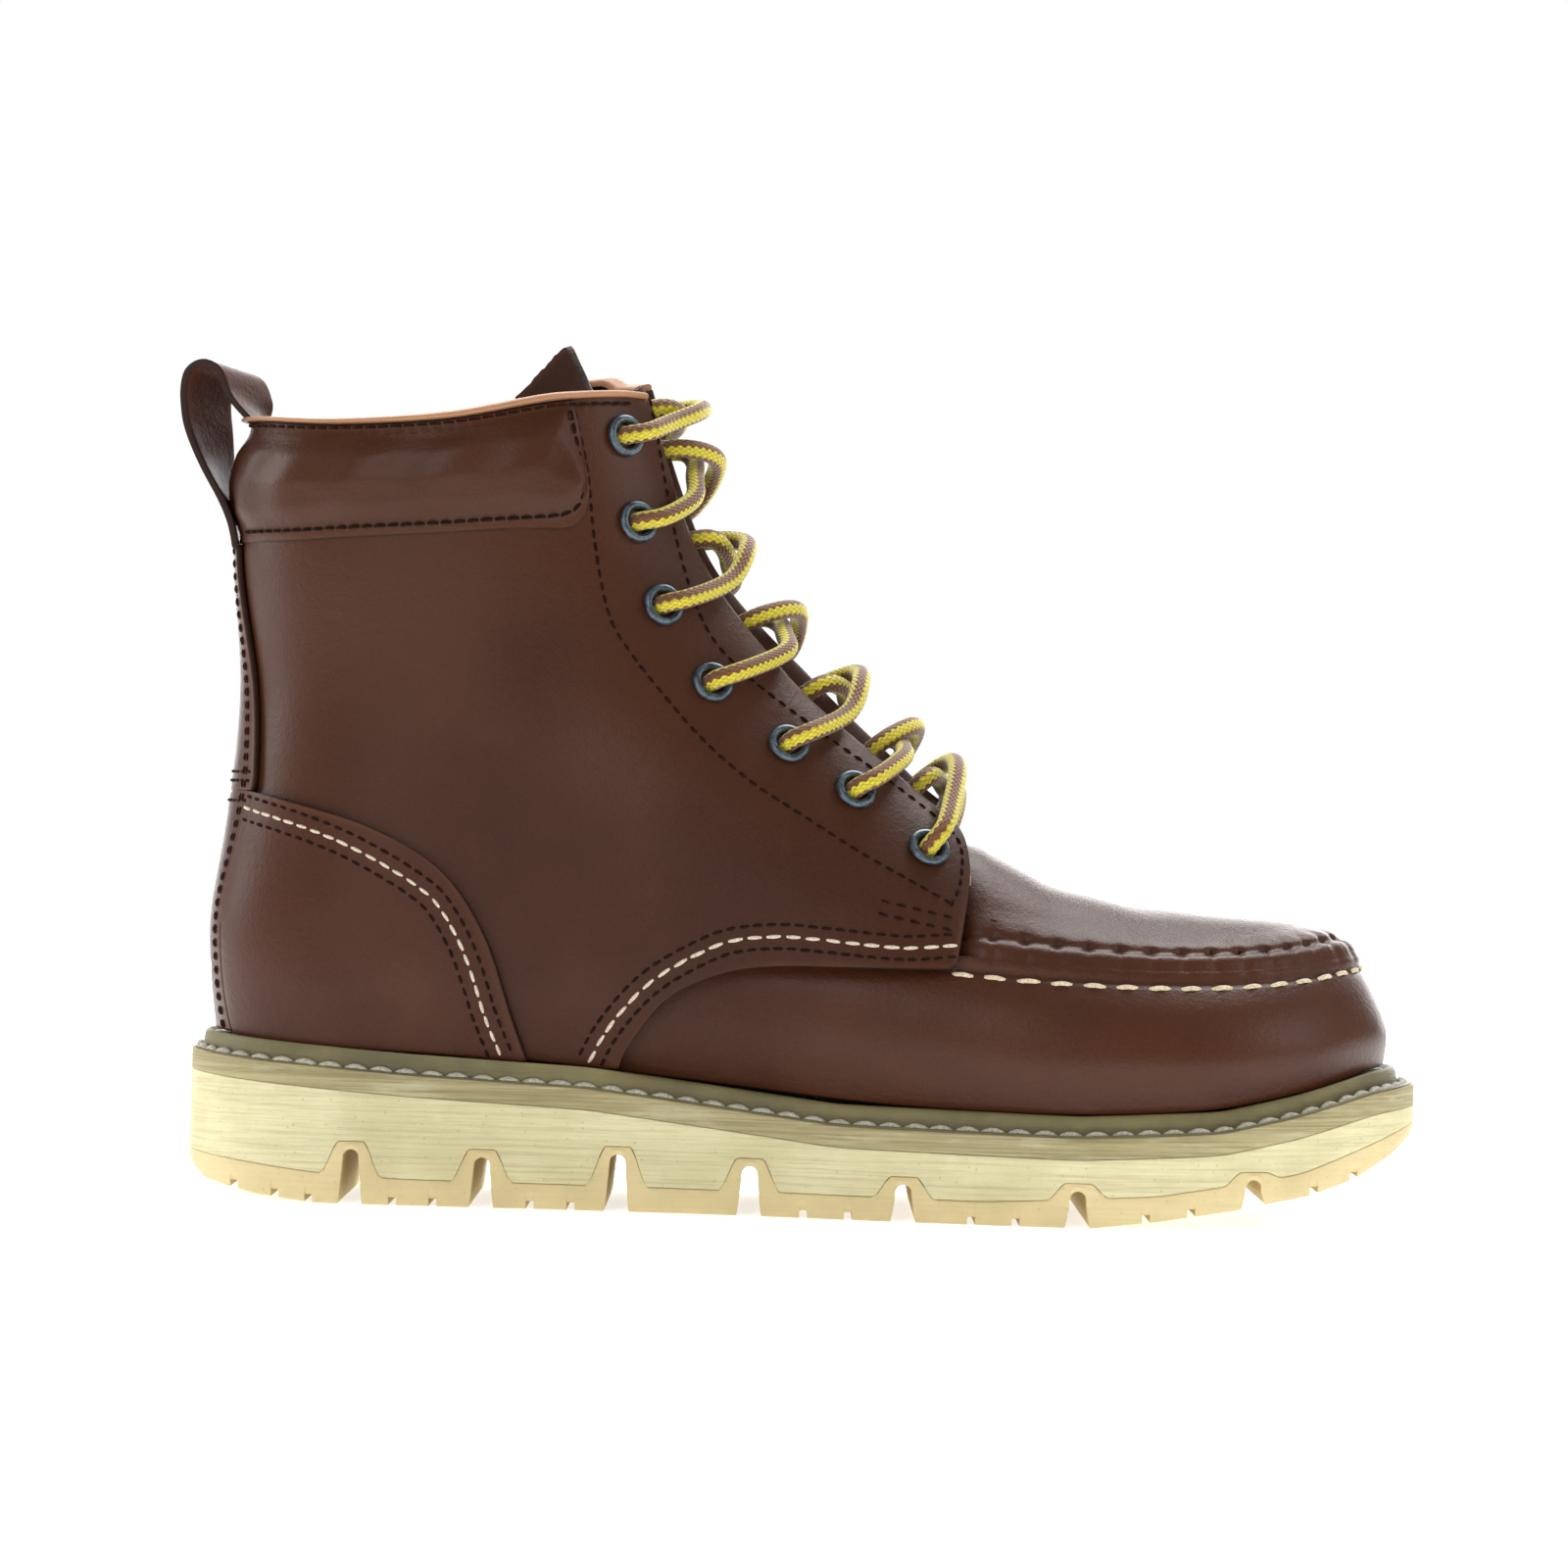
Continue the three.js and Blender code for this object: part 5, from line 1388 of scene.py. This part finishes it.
# ---------------------------------------------------------------- stitching
class Tree:
    """A small Geometry Nodes tree that is written like a list of calls."""

    def __init__(self, name, inputs):
        self.tree = bpy.data.node_groups.new(name, "GeometryNodeTree")
        self.sockets = {}
        self.tree.interface.new_socket("Geometry", in_out="INPUT", socket_type="NodeSocketGeometry")
        for label, kind in inputs:
            socket = self.tree.interface.new_socket(label, in_out="INPUT", socket_type=kind)
            self.sockets[label] = socket.identifier
        self.tree.interface.new_socket("Geometry", in_out="OUTPUT", socket_type="NodeSocketGeometry")
        self.inputs = self.tree.nodes.new("NodeGroupInput")

    def given(self, label):
        return self.inputs.outputs[label]

    def node(self, kind, settings, values, output=0):
        node = self.tree.nodes.new(kind)
        for key, value in settings.items():
            setattr(node, key, value)
        for key, value in values.items():
            if isinstance(value, bpy.types.NodeSocket):
                self.tree.links.new(value, node.inputs[key])
            else:
                node.inputs[key].default_value = value
        return node.outputs[output]

    def finish(self, geometry):
        out = self.tree.nodes.new("NodeGroupOutput")
        self.tree.links.new(geometry, out.inputs[0])


def stitch_tree():
    """Thread stitches along a line: arcs that dive into the leather at both ends."""
    inputs = [("Pitch", "NodeSocketFloat"), ("Length", "NodeSocketFloat"), ("Thickness", "NodeSocketFloat"),
              ("Hump", "NodeSocketFloat"), ("Thread", "NodeSocketMaterial"), ("Seed", "NodeSocketInt")]
    t = Tree("stitch row", inputs)
    curve = t.node("GeometryNodeMeshToCurve", {}, {"Mesh": t.given("Geometry")})
    pitch = {"Curve": curve, "Length": t.given("Pitch")}
    even = t.node("GeometryNodeResampleCurve", {"mode": "LENGTH"}, pitch)
    half = t.node("ShaderNodeMath", {"operation": "MULTIPLY"}, {0: t.given("Length"), 1: 0.5})
    less = t.node("ShaderNodeMath", {"operation": "MULTIPLY"}, {0: half, 1: -1})
    dive = t.node("ShaderNodeMath", {"operation": "MULTIPLY"}, {0: t.given("Thickness"), 1: -0.6})
    start = t.node("ShaderNodeCombineXYZ", {}, {0: less, 2: dive})
    end = t.node("ShaderNodeCombineXYZ", {}, {0: half, 2: dive})
    rise = t.node("ShaderNodeMath", {"operation": "MULTIPLY"}, {0: t.given("Hump"), 1: 2})
    middle = t.node("ShaderNodeCombineXYZ", {}, {2: rise})
    arc = t.node("GeometryNodeCurveQuadraticBezier", {}, {"Resolution": 5, "Start": start, "Middle": middle,
                                                          "End": end})
    radius = t.node("ShaderNodeMath", {"operation": "MULTIPLY"}, {0: t.given("Thickness"), 1: 0.5})
    round_thread = {"Resolution": 6, "Radius": radius}
    section = t.node("GeometryNodeCurvePrimitiveCircle", {"mode": "RADIUS"}, round_thread)
    solid = {"Curve": arc, "Profile Curve": section, "Fill Caps": True}
    stitch = t.node("GeometryNodeCurveToMesh", {}, solid)
    tangent = t.node("GeometryNodeInputTangent", {}, {})
    up = t.node("GeometryNodeInputNamedAttribute", {"data_type": "FLOAT_VECTOR"}, {"Name": "up"})
    lie = t.node("FunctionNodeAlignRotationToVector", {"axis": "X"}, {"Vector": tangent})
    stand = t.node("FunctionNodeAlignRotationToVector", {"axis": "Z", "pivot_axis": "X"}, {"Rotation": lie,
                                                                                         "Vector": up})
    stray = t.node("FunctionNodeRandomValue", {"data_type": "FLOAT_VECTOR"}, {"Min": (-0.03, -0.05, -0.06),
                                                                             "Max": (0.03, 0.05, 0.06),
                                                                             "Seed": t.given("Seed")})
    uneven = {2: 0.93, 3: 1.07, "Seed": t.given("Seed")}
    size = t.node("FunctionNodeRandomValue", {"data_type": "FLOAT"}, uneven, 1)
    copies = {"Points": even, "Instance": stitch, "Rotation": stand, "Scale": size}
    placed = t.node("GeometryNodeInstanceOnPoints", {}, copies)
    nudged = t.node("GeometryNodeRotateInstances", {}, {"Instances": placed, "Rotation": stray})
    real = t.node("GeometryNodeRealizeInstances", {}, {"Geometry": nudged})
    t.finish(t.node("GeometryNodeSetMaterial", {}, {"Geometry": real, "Material": t.given("Thread")}))
    return t


STITCHING = stitch_tree()
rows_waiting = []


def stitch(line, up, pitch, length, thick, hump, thread_finish, seed=1):
    """Remembers a row of stitches along a line, up pointing out of the leather."""
    rows_waiting.append((np.asarray(line), np.asarray(up), pitch, length, thick, hump, thread_finish, seed))


def leg_row(at, side, depth, *sizes, shift=0.0):
    """A row of stitches on the leg at a distance outside it, moved sideways along the leather."""
    s, h = side * at[:, 0], at[:, 1]
    up = normals(leg, s, h)
    line = leg(s, h) + up * np.asarray(depth, float)[..., None]
    along = unit(np.gradient(line, axis=0))
    line = line + np.cross(along, up) * shift * side
    stitch(line, up, *sizes)


def sew(name, body="boot"):
    """Makes all the rows that wait into one piece of stitching."""
    pieces = []
    for number, (line, up, pitch, length, thick, hump, thread_finish, seed) in enumerate(rows_waiting):
        mesh = bpy.data.meshes.new(f"row {number}")
        edges = [(i, i + 1) for i in range(len(line) - 1)]
        mesh.from_pydata(((line + SHIFT) * MM).tolist(), edges, [])
        way = mesh.attributes.new("up", "FLOAT_VECTOR", "POINT")
        way.data.foreach_set("vector", np.asarray(up, float).ravel())
        obj = bpy.data.objects.new(f"row {number}", mesh)
        bpy.context.scene.collection.objects.link(obj)
        rows = obj.modifiers.new("stitches", "NODES")
        rows.node_group = STITCHING.tree
        wanted = {"Pitch": pitch * MM, "Length": length * MM, "Thickness": thick * MM, "Hump": hump * MM,
                  "Thread": thread_finish, "Seed": seed}
        for label, value in wanted.items():
            rows[STITCHING.sockets[label]] = value
        plain(obj)
        obj.data.shade_smooth()
        pieces.append((obj, thread_finish))
    rows_waiting.clear()
    merge = bmesh.new()
    finishes = []
    for obj, finish in pieces:
        if finish not in finishes:
            finishes.append(finish)
        for face in obj.data.polygons:
            face.material_index = finishes.index(finish)
        merge.from_mesh(obj.data)
        bpy.data.objects.remove(obj)
    mesh = bpy.data.meshes.new(name)
    merge.to_mesh(mesh)
    merge.free()
    for finish in finishes:
        mesh.materials.append(finish)
    whole = bpy.data.objects.new(name, mesh)
    bpy.context.scene.collection.objects.link(whole)
    return joined(whole, body, "lace")


COUNTER_ROW = [(-136.2, 94.4), (-126.2, 91.6), (-118.2, 89), (-110.6, 85.9), (-102.1, 81.6), (-94.3, 76.9),
               (-89.2, 72.5), (-84, 64.2), (-80.5, 56), (-77.4, 47), (-73.9, 38.6)]
TAB_ROW = [(-51.4, 37), (-48, 43.4), (-41.3, 52), (-33.9, 58.3), (-22.7, 64.5), (-15.5, 66.6), (-6.3, 67.4),
           (3.3, 66.9), (22.2, 65.5), (34, 66.2)]
STAY_ROW = [(-59.6, 192), (-56.3, 178.1), (-54.1, 161.2), (-50.3, 144.2), (-44.9, 135), (-36, 124.3),
            (-25.8, 113.4), (-13.6, 103.6), (-1.6, 96.3), (11.8, 88.2), (25, 81.2), (33.4, 76.7)]
EDGE_ROW = [(-42.0, 196.6), (-40, 187.9), (-37.7, 176.6), (-34.4, 162.2), (-29.2, 146.7), (-23.9, 137.5),
            (-15.1, 129.1), (-6.3, 122.6), (6.6, 113.7), (15.3, 107.9), (28.2, 98.7), (34.6, 93.2),
            (36.8, 88.5), (36.4, 81), (34.6, 76.5)]
BAR_ROW = [(18.4, 76.4), (33.4, 73.2)]
FINE, WHITE_PITCH, TAB_PITCH = 3.2, 3.8, 4.7


def collar_row(side):
    """The row that sews the collar panel down along its lower edge, round its corner and up its front."""
    seam = side_line(COLLAR_SEAM, side, 60)
    seam = seam[seam[:, 0] < COLLAR_FRONT - 0.6] + [0, 0.075]
    corner = np.array([(COLLAR_FRONT - 0.3, seam[-1, 1] + 0.04), (COLLAR_FRONT - 0.1, seam[-1, 1] + 0.25)])
    front = np.array([(COLLAR_FRONT - 0.07, h) for h in np.linspace(seam[-1, 1] + 0.5, TOP - 0.12, 12)])
    return even_on(leg, rounded(np.concatenate([seam[::6], corner, front]), 200), 300, side)


def build_stitching(welt_line):
    fine = (FINE, 2.35, 0.82, 0.36, BROWN_THREAD)
    for _, side in SIDES:
        seed = 3 + side
        counter = side_line(COUNTER_ROW, side, 200)
        leg_row(counter, side, COVER_TOP, WHITE_PITCH, 3.2, 0.85, 0.3, WHITE_THREAD, seed)
        for shift in (-2.9, 2.9):
            leg_row(counter, side, COVER_TOP, *fine, seed + 5, shift=shift)
        tab = side_line(TAB_ROW, side, 200)
        leg_row(tab, side, 0, TAB_PITCH, 4.0, 0.95, 0.3, WHITE_THREAD, seed)
        for shift in (-2.9, 2.9):
            leg_row(tab, side, 0, *fine, seed + 7, shift=shift)
        leg_row(side_line(STAY_ROW, side, 200), side, 0, *fine, seed + 9)
        leg_row(side_line(EDGE_ROW, side, 200), side, 0, *fine, seed + 11)
        for shift in (0, 3.4):
            leg_row(side_line(BAR_ROW, side, 40), side, 0, *fine, seed + 13, shift=shift)
        for inset in (3.0, 4.2):
            for low, high in ((42, 97), (100.5, 158)):
                leg_row(back_line(low, high, side, -inset, 120), side, COVER_TOP, *fine, seed + 15)
        leg_row(collar_row(side), side, 1.3, *fine, seed + 17)
        brim = level_line(0.8, COLLAR_FRONT + 0.85, TOP - 0.05, 300)
        leg_row(brim, side, 0.9 + PUFF * (1 - smooth(brim[:, 0], 3.9, 4.5)), *fine, seed + 19)
    for z in (96.3, 101.2, 103.4):
        half = np.interp(z, BACKSTAY[:, 0], BACKSTAY[:, 1]) - 2.2
        y = np.linspace(-half, half, 60)
        level = np.full(y.shape, z)
        ends = [located(BACK_VIEW, np.abs(y) * -side, level, side, (0, 2.4)) for side in (1, -1)]
        at = np.where((y < 0)[:, None], ends[0], ends[1] * [-1, 1])
        leg_row(at, 1, COVER_TOP, *fine, 31)
    a = np.linspace(STITCH_START, 2 * TIP - STITCH_START, 900)
    below = np.full(a.shape, SEAM - 0.36)
    up = normals(vamp, a, below)
    stitch(vamp(a, below) + up * 0.2, up, MOC_PITCH, 5.0, 1.25, 0.4, MOC_THREAD, 2)
    # Dark brown stitches on the plug just above the roll: real thread passes through holes here, but its dark
    # colour is painted shade standing in for the shadowed stitch holes.
    face = plug(a, np.full(a.shape, 0.135))
    over = unit(np.stack([up[:, 0] * 0.3, up[:, 1] * 0.3, np.ones(len(up))], -1))
    stitch(face + over * 0.1, over, MOC_PITCH, 3.4, 1.3, 0.2, BROWN_THREAD, 6)
    stitch(welt_line, np.tile([0, 0, 1.0], (len(welt_line), 1)), 6.2, 6.0, 1.7, 0.8, WELT_THREAD, 4)
    sew("stitching")


# ---------------------------------------------------------------- putting it together
build_quarters()
build_counters()
build_backstays()
build_collar()
build_binding()
build_vamp()
build_tongue()
build_linings()
eyelet_places = placed_eyelets()
build_eyelets(eyelet_places)
build_lace(eyelet_places)
build_loop()
build_sole()
build_stitching(build_welt())

KEPT = {
    "toe_cap": STEEL_PLATE, "shank": STEEL_PLATE, "cork_filler": CORK, "insole_board": BOARD,
    "heel_counter": BOARD, "eyestay_lateral": BOARD, "eyestay_medial": BOARD, "vamp_lining": LINING_CLOTH, "footbed": FELT,
}
for node, finish in KEPT.items():
    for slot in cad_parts[node].material_slots:
        slot.material = finish


# ---------------------------------------------------------------- floor and light
def build_stage():
    paper = Finish("pale floor", Roughness=0.9, Specular_IOR_Level=0.0, Emission_Color=(1, 1, 1, 1),
                   Emission_Strength=FLOOR_GLOW)
    dust = paper.noise(3, 2)
    paper.set("Base Color", paper.mix(dust, PALE, tuple(p * 0.99 for p in PALE)))
    reach = 40
    mesh = bpy.data.meshes.new("floor")
    corners = [(-reach, -reach, 0), (reach, -reach, 0), (reach, reach, 0), (-reach, reach, 0)]
    mesh.from_pydata(corners, [], [(0, 1, 2, 3)])
    mesh.materials.append(paper.material)
    floor = bpy.data.objects.new("floor", mesh)
    bpy.context.scene.collection.objects.link(floor)


SKY = 0.42
FLOOR_GLOW = 0.64
LAMPS = [
    ("overhead softbox", (0.12, 0.45, 1.0), (1.0, 0.6), 16),
    ("front softbox", (-0.5, -1.3, 0.8), (0.8, 0.8), 6),
    ("back softbox", (0.1, 1.7, 0.5), (2.2, 0.9), 40),
    ("toe softbox", (1.5, -0.4, 0.7), (0.6, 0.9), 5),
    ("heel softbox", (-1.5, 0.3, 0.6), (0.6, 0.9), 9),
]


def build_light():
    world = bpy.data.worlds.new("studio")
    world.use_nodes = True
    nodes, links = world.node_tree.nodes, world.node_tree.links
    background = next(n for n in nodes if n.type == "BACKGROUND")
    background.inputs["Color"].default_value = (1, 1, 1, 1)
    seen = nodes.new("ShaderNodeMapRange")
    links.new(nodes.new("ShaderNodeLightPath").outputs["Is Camera Ray"], seen.inputs["Value"])
    seen.inputs["To Min"].default_value = SKY
    seen.inputs["To Max"].default_value = 1.0
    links.new(seen.outputs["Result"], background.inputs["Strength"])
    bpy.context.scene.world = world
    for name, place, size, power in LAMPS:
        lamp = bpy.data.lights.new(name, "AREA")
        lamp.shape = "RECTANGLE"
        lamp.size, lamp.size_y = size
        lamp.energy = power
        obj = bpy.data.objects.new(name, lamp)
        aim = Vector((0, 0, 0.09)) - Vector(place)
        obj.matrix_world = Matrix.Translation(place) @ aim.to_track_quat("-Z", "Y").to_matrix().to_4x4()
        bpy.context.scene.collection.objects.link(obj)
    bpy.context.scene.view_settings.view_transform = "Standard"


build_stage()
build_light()
